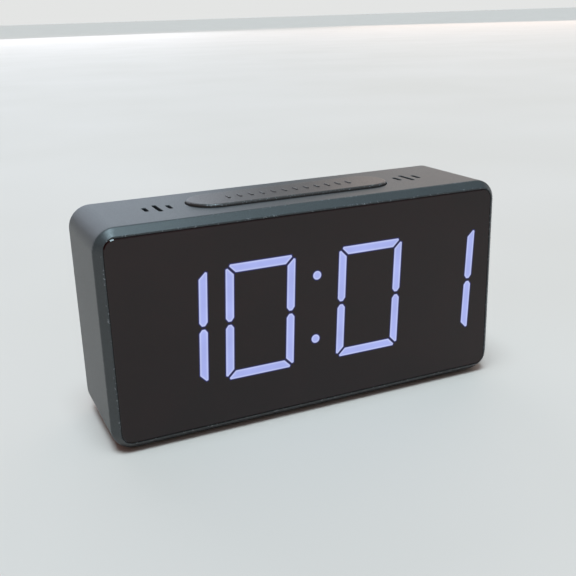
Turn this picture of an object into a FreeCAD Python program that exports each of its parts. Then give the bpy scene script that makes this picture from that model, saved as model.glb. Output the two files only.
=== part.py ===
import FreeCAD, Part
import math
import os
import Sketcher

# A mains or battery LED desk alarm clock with a dark mirror front, a long snooze bar between two
# groups of sound slots on top, and keys, a slide switch, a power socket and a battery bay behind.
#
# Frame: millimetres, +X to the right as the clock is read, +Y to the back, +Z up. The origin is the
# middle of the base, on the surface that the feet stand on.

SIZES = [
    # the case
    ("case_width", 160.0, "outside width of the case"),
    ("case_height", 80.5, "outside height of the case, without the feet"),
    ("body_depth", 43.5, "mirror face to rear rim"),
    ("corner_round", 8.3, "corner radius of the case, seen from the front"),
    ("case_wall", 2.2, "wall of the case"),
    ("chamfer_inset", 2.6, "width of the front chamfer, seen from the front"),
    ("chamfer_depth", 2.8, "depth of the front chamfer, along Y"),
    ("chamfer_round", 4.9, "corner radius of the chamfer's inner edge"),
    ("rear_round", 0.8, "rounding of the rear rim"),
    ("foot_stand", 0.6, "how far the feet stand out of the base"),
    ("foot_diameter", 9.0, "rubber foot"),
    ("foot_recess", 0.8, "depth of the seat of a foot"),
    ("foot_gap", 0.1, "clearance round a foot in its seat"),
    ("foot_inset_side", 15.0, "foot centre from the side of the case"),
    ("foot_spacing_deep", 25.0, "front foot to rear foot"),
    # the mirror and what holds it
    ("rim_land", 0.5, "flat rim between the chamfer and the mirror's seat"),
    ("mirror_gap", 0.15, "clearance round the mirror"),
    ("mirror_proud", 0.3, "how far the mirror stands out of its seat"),
    ("mirror_plate", 2.0, "thickness of the mirror"),
    ("mirror_round", 3.9, "corner radius of the mirror"),
    ("mirror_bevel", 0.35, "polished bevel round the mirror's face"),
    ("tape_plate", 0.4, "thickness of the adhesive tape behind the mirror"),
    ("tape_inset", 0.5, "tape edge from the mirror's edge"),
    ("front_plate", 1.8, "wall of the case behind the mirror"),
    # the display
    ("digit_height", 43.8, "digit, outside"),
    ("digit_width", 27.3, "digit, outside"),
    ("stroke", 3.4, "width of a segment"),
    ("segment_gap", 0.67, "dark line between two segments"),
    ("tip_gap", 0.95, "dark line between an upper and a lower bar"),
    ("corner_cut", 1.7, "cut off the outer corner of a digit"),
    ("tip_flat", 1.3, "blunt end of a segment at mid height"),
    ("tip_rise", 1.4, "length of the taper to that end"),
    ("slant", 2.8, "lean of the digits, degrees"),
    ("digit_pitch", 33.85, "first to second digit, and third to fourth"),
    ("middle_pitch", 45.0, "second to third digit"),
    ("digit_lift", 0.45, "middle of the digits above the middle of the case"),
    ("colon_dot", 3.6, "diameter of a colon dot"),
    ("colon_spread", 24.9, "one colon dot to the other"),
    ("film_gap", 0.25, "air between the mirror and the film"),
    ("film_plate", 0.3, "thickness of the printed film"),
    ("display_border", 1.4, "reflector beyond the digits on each side"),
    ("window_gap", 0.5, "clearance of the reflector in the window"),
    ("reflector_depth", 7.0, "front of the reflector to the display board"),
    ("reflector_flange", 1.5, "flange at the back of the reflector"),
    ("resin_depth", 1.2, "milky resin at the front of a segment"),
    ("board_plate", 1.2, "thickness of a circuit board"),
    ("board_round", 1.2, "corner radius of a circuit board"),
    ("chip_length", 2.8, "light chip"),
    ("chip_width", 1.4, "light chip"),
    ("chip_height", 0.8, "light chip"),
    # screws: the large ones hold the cover and the small ones the boards
    ("cover_screw", 2.4, "core of a cover screw"),
    ("cover_screw_length", 9.0, "shank of a cover screw"),
    ("cover_head", 4.8, "head of a cover screw"),
    ("cover_head_height", 1.6, "head of a cover screw"),
    ("board_screw", 1.8, "core of a board screw"),
    ("board_screw_length", 6.0, "shank of a board screw"),
    ("board_head", 3.8, "head of a board screw"),
    ("board_head_height", 1.3, "head of a board screw"),
    ("screw_gap", 0.05, "radial clearance of a screw in its pilot hole"),
    ("hole_gap", 0.3, "radial clearance of a screw in a plate"),
    ("recess_arm", 0.7, "arm of the cross in a screw head"),
    ("boss_wall", 1.8, "wall of a screw boss"),
    # the rear cover
    ("cover_plate", 2.0, "thickness of the rear cover"),
    ("cover_recess", 1.6, "rear rim to the face of the cover"),
    ("cover_step", 1.0, "step in the wall that the cover sits on"),
    ("cover_gap", 0.15, "clearance round the cover"),
    ("sink_depth", 1.0, "depth of the seat of a cover screw's head"),
    # the snooze bar on top
    ("bar_length", 81.2, "snooze bar"),
    ("bar_width", 20.4, "snooze bar, front to back"),
    ("bar_middle", 0.9, "middle of the bar behind the middle of the case"),
    ("bar_gap", 0.4, "clearance round the bar"),
    ("bar_stand", 1.1, "how far the bar stands out of the top"),
    ("bar_skin", 1.6, "top wall of the bar"),
    ("bar_side", 1.5, "side wall of the bar"),
    ("bar_round", 0.9, "rounding of the bar's top edge"),
    ("bar_flange", 1.2, "thickness of the flange that keeps the bar in"),
    ("bar_lip", 1.2, "flange beyond the bar"),
    ("bar_rest_gap", 0.1, "flange to the case, at rest"),
    ("bar_travel", 0.7, "how far the bar goes down"),
    ("post_spacing", 60.0, "one guide post to the other"),
    ("post_diameter", 3.8, "guide post"),
    ("post_gap", 0.2, "radial clearance of a post in the snooze board"),
    ("post_collar", 6.6, "collar that a return spring pushes on"),
    ("spring_wire", 0.5, "wire of a return spring"),
    ("spring_turns", 5.0, "turns of a return spring"),
    ("spring_height", 5.6, "return spring at rest"),
    ("post_end", 0.6, "guide post below its board"),
    ("sensor_width", 3.8, "temperature sensor"),
    ("sensor_length", 4.6, "temperature sensor"),
    ("sensor_height", 3.5, "temperature sensor"),
    ("pip_count", 12.0, "tactile bars on the snooze bar"),
    ("pip_span", 50.0, "first to last tactile bar"),
    ("pip_length", 4.4, "tactile bar, front to back"),
    ("pip_width", 1.0, "tactile bar"),
    ("pip_height", 0.3, "tactile bar above the snooze bar"),
    # the sound slots beside it
    ("slot_from_bar", 11.2, "end of the snooze bar to the middle of a group of slots"),
    ("slot_pitch", 4.4, "slot to slot"),
    ("slot_width", 1.5, "slot"),
    ("slot_long", 11.0, "middle slot of a group"),
    ("slot_short", 6.0, "outer slots of a group"),
    # press switches
    ("switch_side", 6.0, "press switch, square"),
    ("switch_height", 3.5, "press switch body"),
    ("plunger_diameter", 3.4, "plunger of a press switch"),
    ("plunger_gap", 0.08, "radial clearance of a plunger"),
    ("plunger_stand", 0.9, "plunger above its switch"),
    ("plunger_pad", 4.6, "pad or stem that meets a plunger"),
    ("switch_floor", 0.4, "floor below a plunger's bore"),
    ("plunger_end_gap", 0.6, "plunger to that floor when it is pressed"),
    ("moulding_round", 0.4, "corner radius of small moulded bodies"),
    # keys, behind
    ("key_row", 60.5, "height of the key row"),
    ("key_pitch", 24.0, "key to key"),
    ("key_diameter", 8.0, "key"),
    ("key_gap", 0.25, "clearance round a key"),
    ("key_stand", 1.2, "key above the cover"),
    ("key_lip", 1.0, "flange of a key beyond it"),
    ("key_flange", 0.8, "thickness of that flange"),
    ("key_rest_gap", 0.1, "flange to the cover, at rest"),
    ("key_stem", 0.8, "stem between the flange and the plunger"),
    ("key_travel", 0.5, "how far a key goes in"),
    ("key_round", 0.5, "rounding of a key"),
    # the main board
    ("board_length", 131.0, "main board"),
    ("board_height", 15.5, "main board"),
    ("main_screw_x", 48.0, "board screws from the middle"),
    ("main_screw_rise", 4.6, "board screws above and below the key row"),
    ("buzzer_diameter", 12.0, "buzzer"),
    ("buzzer_height", 5.4, "buzzer"),
    ("buzzer_hole", 2.0, "sound hole of the buzzer"),
    ("buzzer_x", 57.0, "buzzer from the middle, below the right-hand slots"),
    ("capacitor_diameter", 5.0, "capacitor"),
    ("capacitor_height", 7.0, "capacitor"),
    ("capacitor_x", 36.0, "capacitor from the middle"),
    ("controller_length", 10.0, "controller chip"),
    ("controller_width", 7.0, "controller chip"),
    ("controller_height", 1.5, "controller chip"),
    ("controller_x", 16.0, "controller chip from the middle, to the left"),
    ("crystal_length", 8.0, "quartz crystal's can"),
    ("crystal_width", 3.4, "quartz crystal's can"),
    ("crystal_height", 2.5, "quartz crystal's can"),
    ("crystal_x", 34.0, "crystal from the middle, to the left"),
    # the slide switch and the power socket, behind
    ("slide_x", 60.0, "slide switch from the middle, to the left"),
    ("slide_length", 10.0, "slide switch body"),
    ("slide_width", 4.6, "slide switch body"),
    ("slide_height", 4.0, "slide switch body"),
    ("knob_length", 3.2, "knob of the slide switch"),
    ("knob_width", 2.6, "knob of the slide switch"),
    ("knob_stand", 0.9, "knob above the cover"),
    ("knob_root", 2.4, "knob inside the switch body"),
    ("knob_travel", 4.0, "end to end travel of the knob"),
    ("knob_gap", 0.2, "clearance round the knob"),
    ("knob_groove", 0.4, "width of the grooves across the knob"),
    ("socket_x", 60.0, "power socket from the middle, to the right"),
    ("socket_diameter", 8.0, "power socket body"),
    ("socket_gap", 0.2, "clearance of the socket in the cover"),
    ("socket_bore", 3.7, "bore for the plug"),
    ("socket_depth", 7.0, "depth of that bore"),
    ("socket_pin", 1.3, "centre pin"),
    ("socket_pin_short", 0.75, "tip of the pin below the mouth"),
    # the battery bay in the cover
    ("bay_middle", 29.0, "height of the middle of the battery bay"),
    ("bay_length", 52.0, "inside of the bay"),
    ("bay_height", 35.5, "inside of the bay"),
    ("bay_wall", 1.5, "wall of the bay"),
    ("bay_ledge", 1.25, "step round the bay that the door covers"),
    ("cell_diameter", 10.5, "size AAA cell"),
    ("cell_length", 44.5, "size AAA cell, over the nub"),
    ("nub_diameter", 3.8, "nub of a cell"),
    ("nub_length", 0.8, "nub of a cell"),
    ("cell_pitch", 11.3, "cell to cell"),
    ("cell_gap", 0.5, "clearance in front of and behind a cell"),
    ("contact_plate", 0.4, "battery contact"),
    ("contact_side", 9.0, "battery contact, square"),
    ("contact_wire", 0.6, "wire of a battery spring"),
    ("contact_coil", 6.2, "mean diameter of a battery spring"),
    ("contact_turns", 4.0, "turns of a battery spring"),
    ("contact_pin", 1.2, "length of the pin that a lead is soldered to"),
    ("contact_pin_wide", 0.8, "diameter of that pin"),
    # the battery door
    ("door_plate", 1.8, "battery door"),
    ("door_gap", 0.2, "clearance round the door"),
    ("door_round", 0.6, "corner radius of the door and its opening"),
    ("hook_spacing", 34.0, "one hook to the other"),
    ("hook_width", 8.0, "hook of the door"),
    ("hook_plate", 1.2, "thickness of a hook"),
    ("hook_reach", 2.0, "hook beyond the edge of the opening"),
    ("hook_gap", 0.5, "clearance at each side of a hook"),
    ("latch_width", 16.0, "spring tongue of the door"),
    ("latch_length", 9.0, "spring tongue of the door"),
    ("latch_slit", 0.8, "slit round that tongue"),
    ("grip_height", 0.7, "finger ribs on the tongue"),
    ("grip_width", 0.8, "finger ribs on the tongue"),
    ("grip_length", 11.0, "finger ribs on the tongue"),
    ("grip_pitch", 1.6, "rib to rib"),
    # wiring
    ("ribbon_width", 12.7, "flat cable between the two boards"),
    ("ribbon_plate", 0.9, "flat cable"),
    ("ribbon_sag", 3.0, "sag of the flat cable"),
    ("ribbon_x", 18.0, "middle of the flat cable"),
    ("cable_reach", 8.0, "snooze board's cable in front of the main board"),
    ("header_height", 5.0, "connector on a board"),
    ("header_width", 3.2, "connector on a board"),
    ("lead_diameter", 1.2, "insulated lead"),
    ("lead_run", 8.0, "lead in front of the battery bay"),
    ("lead_inset", 1.0, "lead's pin from the end of the bay"),
]

# Places and sizes that follow from the ones above. Each may use those before it.
PLACES = [
    ("face_y", "-Dim.body_depth / 2"),
    ("rim_y", "Pos.face_y + Dim.mirror_proud"),
    ("chamfer_y", "Pos.rim_y + Dim.chamfer_depth"),
    ("mirror_y", "Pos.face_y + Dim.mirror_plate"),
    ("seat_y", "Pos.mirror_y + Dim.tape_plate"),
    ("plate_y", "Pos.seat_y + Dim.front_plate"),
    ("film_y", "Pos.mirror_y + Dim.film_gap"),
    ("reflector_y", "Pos.film_y + Dim.film_plate"),
    ("display_board_y", "Pos.reflector_y + Dim.reflector_depth"),
    ("display_back_y", "Pos.display_board_y + Dim.board_plate"),
    ("flange_y", "Pos.display_board_y - Dim.reflector_flange"),
    ("rear_y", "Dim.body_depth / 2"),
    ("cover_y", "Pos.rear_y - Dim.cover_recess"),
    ("cover_inner_y", "Pos.cover_y - Dim.cover_plate"),
    ("bottom_z", "Dim.foot_stand"),
    ("middle_z", "Dim.foot_stand + Dim.case_height / 2"),
    ("top_z", "Dim.foot_stand + Dim.case_height"),
    ("ceiling_z", "Pos.top_z - Dim.case_wall"),
    # mirror, tape and window
    ("mirror_inset", "Dim.chamfer_inset + Dim.rim_land + Dim.mirror_gap"),
    ("mirror_width", "Dim.case_width - 2 * Pos.mirror_inset"),
    ("mirror_height", "Dim.case_height - 2 * Pos.mirror_inset"),
    ("display_width", "Dim.middle_pitch + 2 * Dim.digit_pitch + Dim.digit_width"
                      " + Dim.digit_height * tan(Dim.slant * 1 deg) + 2 * Dim.display_border"),
    ("display_height", "Dim.digit_height + 2 * Dim.display_border"),
    ("digit_z", "Pos.middle_z + Dim.digit_lift"),
    ("window_width", "Pos.display_width + 2 * Dim.window_gap"),
    ("window_height", "Pos.display_height + 2 * Dim.window_gap"),
    # bosses
    ("cover_pilot", "Dim.cover_screw + 2 * Dim.screw_gap"),
    ("board_pilot", "Dim.board_screw + 2 * Dim.screw_gap"),
    ("cover_boss", "Pos.cover_pilot + 2 * Dim.boss_wall"),
    ("board_boss", "Pos.board_pilot + 2 * Dim.boss_wall * 0.8"),
    ("cover_screw_x", "Dim.case_width / 2 - Dim.case_wall - Pos.cover_boss / 2 - 0.6"),
    ("cover_screw_z", "Dim.case_height / 2 - Dim.case_wall - Pos.cover_boss / 2 - 0.6"),
    ("display_screw_x", "Pos.display_width / 2 - Pos.board_boss / 2"),
    ("display_screw_rise", "Pos.window_height / 2 + Pos.board_boss / 2 + 0.3"),
    ("flange_height", "2 * Pos.display_screw_rise + Pos.board_boss + 0.8"),
    # snooze bar and its board
    ("bar_top_z", "Pos.top_z + Dim.bar_stand"),
    ("bar_roof_z", "Pos.bar_top_z - Dim.bar_skin"),
    ("flange_top_z", "Pos.ceiling_z - Dim.bar_rest_gap"),
    ("flange_base_z", "Pos.flange_top_z - Dim.bar_flange"),
    ("snooze_board_z", "Pos.flange_base_z - Dim.switch_height - Dim.plunger_stand - 0.7"),
    ("slot_centre", "Dim.bar_length / 2 + Dim.slot_from_bar"),
    ("snooze_screw_x", "Dim.bar_length / 2 + Dim.bar_lip + Pos.board_boss / 2 + 0.3"),
    ("snooze_screw_y", "Dim.bar_width / 2 - 2.8"),
    ("snooze_board_length", "2 * Pos.snooze_screw_x + Dim.board_head + 1"),
    ("snooze_board_width", "2 * Pos.snooze_screw_y + Dim.board_head + 1"),
    ("plunger_top_z", "Pos.snooze_board_z + Dim.switch_height + Dim.plunger_stand"),
    ("snooze_plunger_z", "Pos.snooze_board_z + Dim.switch_floor + Dim.plunger_end_gap"
                         " + Dim.bar_travel"),
    ("collar_z", "Pos.snooze_board_z + Dim.spring_height"),
    ("post_end_z", "Pos.snooze_board_z - Dim.board_plate - Dim.post_end"),
    # keys and the main board
    ("key_flange_y", "Pos.cover_inner_y - Dim.key_rest_gap - Dim.key_flange"),
    ("key_stem_y", "Pos.key_flange_y - Dim.key_stem"),
    ("main_back_y", "Pos.key_stem_y - Dim.plunger_stand - Dim.switch_height"),
    ("main_front_y", "Pos.main_back_y - Dim.board_plate"),
    ("key_plunger_y", "Pos.main_back_y + Dim.switch_floor + Dim.plunger_end_gap + Dim.key_travel"),
    # battery bay
    ("opening_length", "Dim.bay_length + 2 * Dim.bay_ledge"),
    ("opening_height", "Dim.bay_height + 2 * Dim.bay_ledge"),
    ("door_inner_y", "Pos.cover_y - Dim.door_plate"),
    ("cell_y", "Pos.door_inner_y - Dim.cell_gap - Dim.cell_diameter / 2"),
    ("bay_floor_y", "Pos.cell_y - Dim.cell_diameter / 2 - Dim.cell_gap"),
    ("bay_outer_y", "Pos.bay_floor_y - Dim.bay_wall"),
    ("opening_bottom_z", "Dim.bay_middle - Pos.opening_height / 2"),
    ("hook_y", "Pos.cover_inner_y - Dim.door_gap - Dim.hook_plate"),
    ("hook_swing", "sqrt((Pos.cover_y - Pos.hook_y) ^ 2 + Dim.hook_reach ^ 2)"),
    ("notch_y", "Pos.cover_y - Pos.hook_swing - Dim.door_gap"),
    ("door_top_z", "Pos.opening_bottom_z + Pos.opening_height - Dim.door_gap"),
]

doc = FreeCAD.newDocument("alarm_clock")
nodes = []


# ---------------------------------------------------------------------------- sizes and sketches

def fill_sheet():
    """The driving sizes, one per row, each with its name as the alias of its number."""
    sheet = doc.addObject("Spreadsheet::Sheet", "Dim")
    for row, (name, number, note) in enumerate(SIZES, 1):
        sheet.set(f"A{row}", note)
        sheet.set(f"B{row}", str(number))
        sheet.setAlias(f"B{row}", name)
    doc.recompute()
    places = doc.addObject("App::VarSet", "Pos")
    for name, formula in PLACES:
        places.addProperty("App::PropertyFloat", name, "Places")
        places.setExpression(name, formula)
        doc.recompute([places])
    return sheet


sheet = fill_sheet()


def value(formula):
    """The number that a formula in the sheet's names gives now."""
    return float(sheet.evalExpression(f"({formula}) * 1.0"))


def keep(made, label):
    """List an object as a sub-part under its own name."""
    made.Label = label
    nodes.append(made)
    return made


def new_body(label):
    return keep(doc.addObject("PartDesign::Body", label), label)


def new_sketch(body, plane, offset):
    """An empty sketch parallel to an origin plane; offset is its place along X, Y or Z."""
    origin = [item for item in body.Origin.OriginFeatures if item.Role == plane + "_Plane"][0]
    sketch = body.newObject("Sketcher::SketchObject", body.Name + "_sketch")
    sketch.AttachmentSupport = [(origin, "")]
    sketch.MapMode = "FlatFace"
    sign = "-" if plane == "XZ" else ""
    sketch.setExpression("AttachmentOffset.Base.z", f"{sign}({offset})")
    return sketch


def pin_point(sketch, item, point, x, y):
    """Fix a point of a sketch at x and y, both formulas."""
    for kind, formula in (("DistanceX", x), ("DistanceY", y)):
        number = sketch.addConstraint(Sketcher.Constraint(kind, -1, 1, item, point, value(formula)))
        sketch.setExpression(f"Constraints[{number}]", formula)


def circle(sketch, x, y, diameter):
    centre = FreeCAD.Vector(value(x), value(y), 0)
    radius = value(diameter) / 2
    item = sketch.addGeometry(Part.Circle(centre, FreeCAD.Vector(0, 0, 1), radius))
    pin_point(sketch, item, 3, x, y)
    number = sketch.addConstraint(Sketcher.Constraint("Radius", item, radius))
    sketch.setExpression(f"Constraints[{number}]", f"({diameter}) / 2")


def polygon(sketch, corners):
    """A closed outline of straight edges through the corners, each a pair of formulas."""
    points = [FreeCAD.Vector(value(x), value(y), 0) for x, y in corners]
    count = len(points)
    first = sketch.GeometryCount
    for index in range(count):
        sketch.addGeometry(Part.LineSegment(points[index], points[(index + 1) % count]))
    for index in range(count):
        after = first + (index + 1) % count
        sketch.addConstraint(Sketcher.Constraint("Coincident", first + index, 2, after, 1))
        pin_point(sketch, first + index, 1, *corners[index])


def rounded_loop(sketch, centres, radius):
    """Arcs of one radius about the centres, counter-clockwise, joined by tangent straight lines."""
    points = [FreeCAD.Vector(value(x), value(y), 0) for x, y in centres]
    count = len(points)
    reach = value(radius)
    headings = []
    for index in range(count):
        run = points[(index + 1) % count] - points[index]
        headings.append(math.atan2(run.y, run.x))
    first = sketch.GeometryCount
    for index in range(count):
        start = headings[index - 1] - math.pi / 2
        end = headings[index] - math.pi / 2
        round_part = Part.Circle(points[index], FreeCAD.Vector(0, 0, 1), reach)
        sketch.addGeometry(Part.ArcOfCircle(round_part, start, end))
    for index in range(count):
        out = FreeCAD.Vector(math.sin(headings[index]), -math.cos(headings[index]), 0) * reach
        sketch.addGeometry(Part.LineSegment(points[index] + out, points[(index + 1) % count] + out))
    for index in range(count):
        line = first + count + index
        sketch.addConstraint(Sketcher.Constraint("Tangent", first + index, 2, line, 1))
        sketch.addConstraint(Sketcher.Constraint("Tangent", line, 2, first + (index + 1) % count, 1))
        pin_point(sketch, first + index, 3, *centres[index])
        if index:
            sketch.addConstraint(Sketcher.Constraint("Equal", first, first + index))
    number = sketch.addConstraint(Sketcher.Constraint("Radius", first, reach))
    sketch.setExpression(f"Constraints[{number}]", radius)


def box(sketch, x, y, width, height, radius=None):
    """A rectangle about x and y, with rounded corners where a radius is given."""
    inset = radius or "0"
    right = f"({width}) / 2 - ({inset})"
    up = f"({height}) / 2 - ({inset})"
    corners = []
    for side, rise in ((-1, -1), (1, -1), (1, 1), (-1, 1)):
        corners.append((f"{x} + {side} * ({right})", f"{y} + {rise} * ({up})"))
    if radius:
        rounded_loop(sketch, corners, radius)
    else:
        polygon(sketch, corners)


def slot(sketch, x, y, length, width, along="x"):
    """A round-ended slot about x and y."""
    reach = f"(({length}) - ({width})) / 2"
    if along == "x":
        ends = [(f"{x} - {reach}", y), (f"{x} + {reach}", y)]
    else:
        ends = [(x, f"{y} - {reach}"), (x, f"{y} + {reach}")]
    rounded_loop(sketch, ends, f"({width}) / 2")


def feature(kind, body, sketch, length, backwards):
    made = body.newObject("PartDesign::" + kind, body.Name + "_" + kind.lower())
    made.Profile = sketch
    made.setExpression("Length", length)
    made.Reversed = backwards
    sketch.Visibility = False
    return made


def pad(body, sketch, length):
    """Add material: a sketch across Z grows up, one across X to the right, one across Y backwards."""
    across_y = "XZ_Plane" in [item[0].Role for item in sketch.AttachmentSupport]
    return feature("Pad", body, sketch, length, across_y)


def pocket(body, sketch, length, outwards=False):
    """Cut backwards, down or to the left from the sketch; outwards turns that round."""
    doc.recompute()
    before = body.Shape.Volume
    made = feature("Pocket", body, sketch, length, outwards)
    doc.recompute()
    if body.Shape.Volume >= before - 1e-6:
        raise RuntimeError(f"a pocket of {body.Label} cuts nothing")
    return made


def edge_names(shape, chosen):
    return [f"Edge{number}" for number, edge in enumerate(shape.Edges, 1) if chosen(edge)]


def dress(kind, body, size_name, size, chosen):
    """A fillet or chamfer on the chosen edges of a body."""
    doc.recompute()
    base = body.Tip
    made = body.newObject("PartDesign::" + kind, body.Name + "_" + kind.lower())
    names = edge_names(base.Shape, chosen)
    if not names:
        raise RuntimeError(f"no edge of {body.Label} to dress")
    made.Base = (base, names)
    made.setExpression(size_name, size)
    return made


def lies_in(axis, place, inside=None):
    """A test for edges that lie in one plane across an axis, within an optional box."""
    level = value(place)

    def test(edge):
        bounds = edge.BoundBox
        low = getattr(bounds, axis + "Min")
        high = getattr(bounds, axis + "Max")
        flat = abs(low - level) < 1e-4 and abs(high - level) < 1e-4
        return flat and (inside is None or inside(edge))

    return test


def plate(label, plane, start, thickness, *outline):
    """A flat part: one rounded or square rectangle, grown from its start."""
    body = new_body(label)
    sketch = new_sketch(body, plane, start)
    box(sketch, *outline)
    pad(body, sketch, thickness)
    return body


def rod(label, plane, start, length, x, y, diameter):
    body = new_body(label)
    sketch = new_sketch(body, plane, start)
    circle(sketch, x, y, diameter)
    pad(body, sketch, length)
    return body


def holes(body, plane, start, depth, spots, diameter, outwards=False):
    """Round holes of one size at several spots."""
    sketch = new_sketch(body, plane, start)
    for x, y in spots:
        circle(sketch, x, y, diameter)
    return pocket(body, sketch, depth, outwards)


def bosses(body, plane, start, length, spots, diameter):
    sketch = new_sketch(body, plane, start)
    for x, y in spots:
        circle(sketch, x, y, diameter)
    return pad(body, sketch, length)


def copy_of(source, spot, axis=(1, 0, 0), degrees=0):
    """A copy of one piece, turned about an axis and moved to a spot given as three formulas."""
    link = doc.addObject("App::Link", source.Name + "_copy")
    link.LinkedObject = source
    turn = FreeCAD.Rotation(FreeCAD.Vector(*axis), degrees)
    link.Placement = FreeCAD.Placement(FreeCAD.Vector(), turn)
    for name, formula in zip("xyz", spot):
        link.setExpression("Placement.Base." + name, formula)
    return link


def group(label, links):
    """Several copies as one sub-part."""
    made = doc.addObject("Part::Compound", label)
    made.Links = links
    return keep(made, label)


def pattern_piece(body):
    """A piece that is only there to be copied isn't a sub-part itself."""
    nodes.remove(body)
    return body


def four(x, y, middle="0"):
    """Four spots about the middle of the case's width and another line."""
    spots = []
    for side in ("-", ""):
        for rise in ("-", "+"):
            spots.append((f"{side}({x})", f"{middle} {rise} ({y})"))
    return spots


# ---------------------------------------------------------------------------- places used twice

COVER_SCREWS = four("Pos.cover_screw_x", "Pos.cover_screw_z", "Pos.middle_z")
DISPLAY_SCREWS = four("Pos.display_screw_x", "Pos.display_screw_rise", "Pos.middle_z")
DISPLAY_SCREWS += [("0", f"Pos.middle_z {sign} Pos.display_screw_rise") for sign in "-+"]
SNOOZE_SCREWS = four("Pos.snooze_screw_x", "Pos.snooze_screw_y", "Dim.bar_middle")
MAIN_SCREWS = four("Dim.main_screw_x", "Dim.main_screw_rise", "Dim.key_row")
FEET = four("Dim.case_width / 2 - Dim.foot_inset_side", "Dim.foot_spacing_deep / 2")
POSTS = [(f"{sign}Dim.post_spacing / 2", "Dim.bar_middle") for sign in ("-", "")]
KEYS = [("mode", "-1.5"), ("alarm", "-0.5"), ("up", "0.5"), ("down", "1.5")]
KEY_SPOTS = [(f"{step} * Dim.key_pitch", "Dim.key_row") for name, step in KEYS]
HOOKS = [f"{sign}Dim.hook_spacing / 2" for sign in ("-", "")]
CELL_ROWS = ["Dim.bay_middle + Dim.cell_pitch", "Dim.bay_middle", "Dim.bay_middle - Dim.cell_pitch"]
BAR = ("0", "Dim.bar_middle")
SCREW_PASS = {
    "cover": "Dim.cover_screw + 2 * Dim.hole_gap",
    "board": "Dim.board_screw + 2 * Dim.hole_gap",
}


# ---------------------------------------------------------------------------- case and mirror

def make_case_shell():
    """Front frame, four walls and the bosses: one moulding, open at the back."""
    body = new_body("case_shell")
    outer = ("0", "Pos.middle_z", "Dim.case_width", "Dim.case_height", "Dim.corner_round")
    inset = "2 * Dim.chamfer_inset"
    rim = ("0", "Pos.middle_z", f"Dim.case_width - {inset}", f"Dim.case_height - {inset}",
           "Dim.chamfer_round")
    sketch = new_sketch(body, "XZ", "Pos.chamfer_y")
    box(sketch, *outer)
    pad(body, sketch, "Pos.rear_y - Pos.chamfer_y")
    # The chamfer is a straight-sided loft, because its corners are tighter than the case's.
    wide = new_sketch(body, "XZ", "Pos.chamfer_y")
    box(wide, *outer)
    narrow = new_sketch(body, "XZ", "Pos.rim_y")
    box(narrow, *rim)
    doc.recompute()
    loft = body.newObject("PartDesign::AdditiveLoft", "case_chamfer")
    loft.Profile = wide
    loft.Sections = [narrow]
    loft.Ruled = True
    dress("Fillet", body, "Radius", "Dim.rear_round", lies_in("Y", "Pos.rear_y"))

    sketch = new_sketch(body, "XZ", "Pos.rim_y")
    box(sketch, "0", "Pos.middle_z", "Pos.mirror_width + 2 * Dim.mirror_gap",
        "Pos.mirror_height + 2 * Dim.mirror_gap", "Dim.mirror_round + Dim.mirror_gap")
    pocket(body, sketch, "Pos.seat_y - Pos.rim_y")
    sketch = new_sketch(body, "XZ", "Pos.plate_y")
    wall = "2 * Dim.case_wall"
    box(sketch, "0", "Pos.middle_z", f"Dim.case_width - {wall}", f"Dim.case_height - {wall}",
        "Dim.corner_round - Dim.case_wall")
    pocket(body, sketch, "Pos.rear_y - Pos.plate_y")
    sketch = new_sketch(body, "XZ", "Pos.cover_inner_y")
    lip = "2 * (Dim.case_wall - Dim.cover_step)"
    box(sketch, "0", "Pos.middle_z", f"Dim.case_width - {lip}", f"Dim.case_height - {lip}",
        "Dim.corner_round - Dim.case_wall + Dim.cover_step")
    pocket(body, sketch, "Pos.rear_y - Pos.cover_inner_y")
    sketch = new_sketch(body, "XZ", "Pos.seat_y")
    box(sketch, "0", "Pos.middle_z", "Pos.window_width", "Pos.window_height", "Dim.window_gap")
    pocket(body, sketch, "Dim.front_plate")

    bosses(body, "XZ", "Pos.plate_y - Dim.front_plate / 2",
           "Pos.cover_inner_y - Pos.plate_y + Dim.front_plate / 2", COVER_SCREWS, "Pos.cover_boss")
    holes(body, "XZ", "Pos.cover_inner_y - Dim.cover_screw_length", "Dim.cover_screw_length + 1",
          COVER_SCREWS, "Pos.cover_pilot")
    bosses(body, "XZ", "Pos.plate_y - Dim.front_plate / 2",
           "Pos.flange_y - Pos.plate_y + Dim.front_plate / 2", DISPLAY_SCREWS, "Pos.board_boss")
    holes(body, "XZ", "Pos.display_back_y - Dim.board_screw_length - 0.3",
          "Dim.board_screw_length + 0.5", DISPLAY_SCREWS, "Pos.board_pilot")
    bosses(body, "XY", "Pos.snooze_board_z",
           "Pos.ceiling_z - Pos.snooze_board_z + Dim.case_wall / 2", SNOOZE_SCREWS, "Pos.board_boss")
    holes(body, "XY", "Pos.snooze_board_z + Dim.board_screw_length - Dim.board_plate + 0.4",
          "Dim.board_screw_length", SNOOZE_SCREWS, "Pos.board_pilot")

    sketch = new_sketch(body, "XY", "Pos.top_z + 1")
    slot(sketch, *BAR, "Dim.bar_length + 2 * Dim.bar_gap", "Dim.bar_width + 2 * Dim.bar_gap")
    for side in ("-1", "1"):
        for step, length in ((-1, "Dim.slot_short"), (0, "Dim.slot_long"), (1, "Dim.slot_short")):
            x = f"{side} * Pos.slot_centre + {step} * Dim.slot_pitch"
            slot(sketch, x, "Dim.bar_middle", length, "Dim.slot_width", along="y")
    pocket(body, sketch, "Dim.case_wall + 2")
    holes(body, "XY", "Pos.bottom_z + Dim.foot_recess", "Dim.foot_recess + 1", FEET,
          "Dim.foot_diameter + 2 * Dim.foot_gap")
    return body


def make_feet():
    height = "Dim.foot_stand + Dim.foot_recess"
    foot = pattern_piece(rod("foot", "XY", "0", height, "0", "0", "Dim.foot_diameter"))
    dress("Fillet", foot, "Radius", "Dim.foot_stand / 2", lies_in("Z", "0"))
    group("feet", [copy_of(foot, (x, y, "0")) for x, y in FEET])


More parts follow.
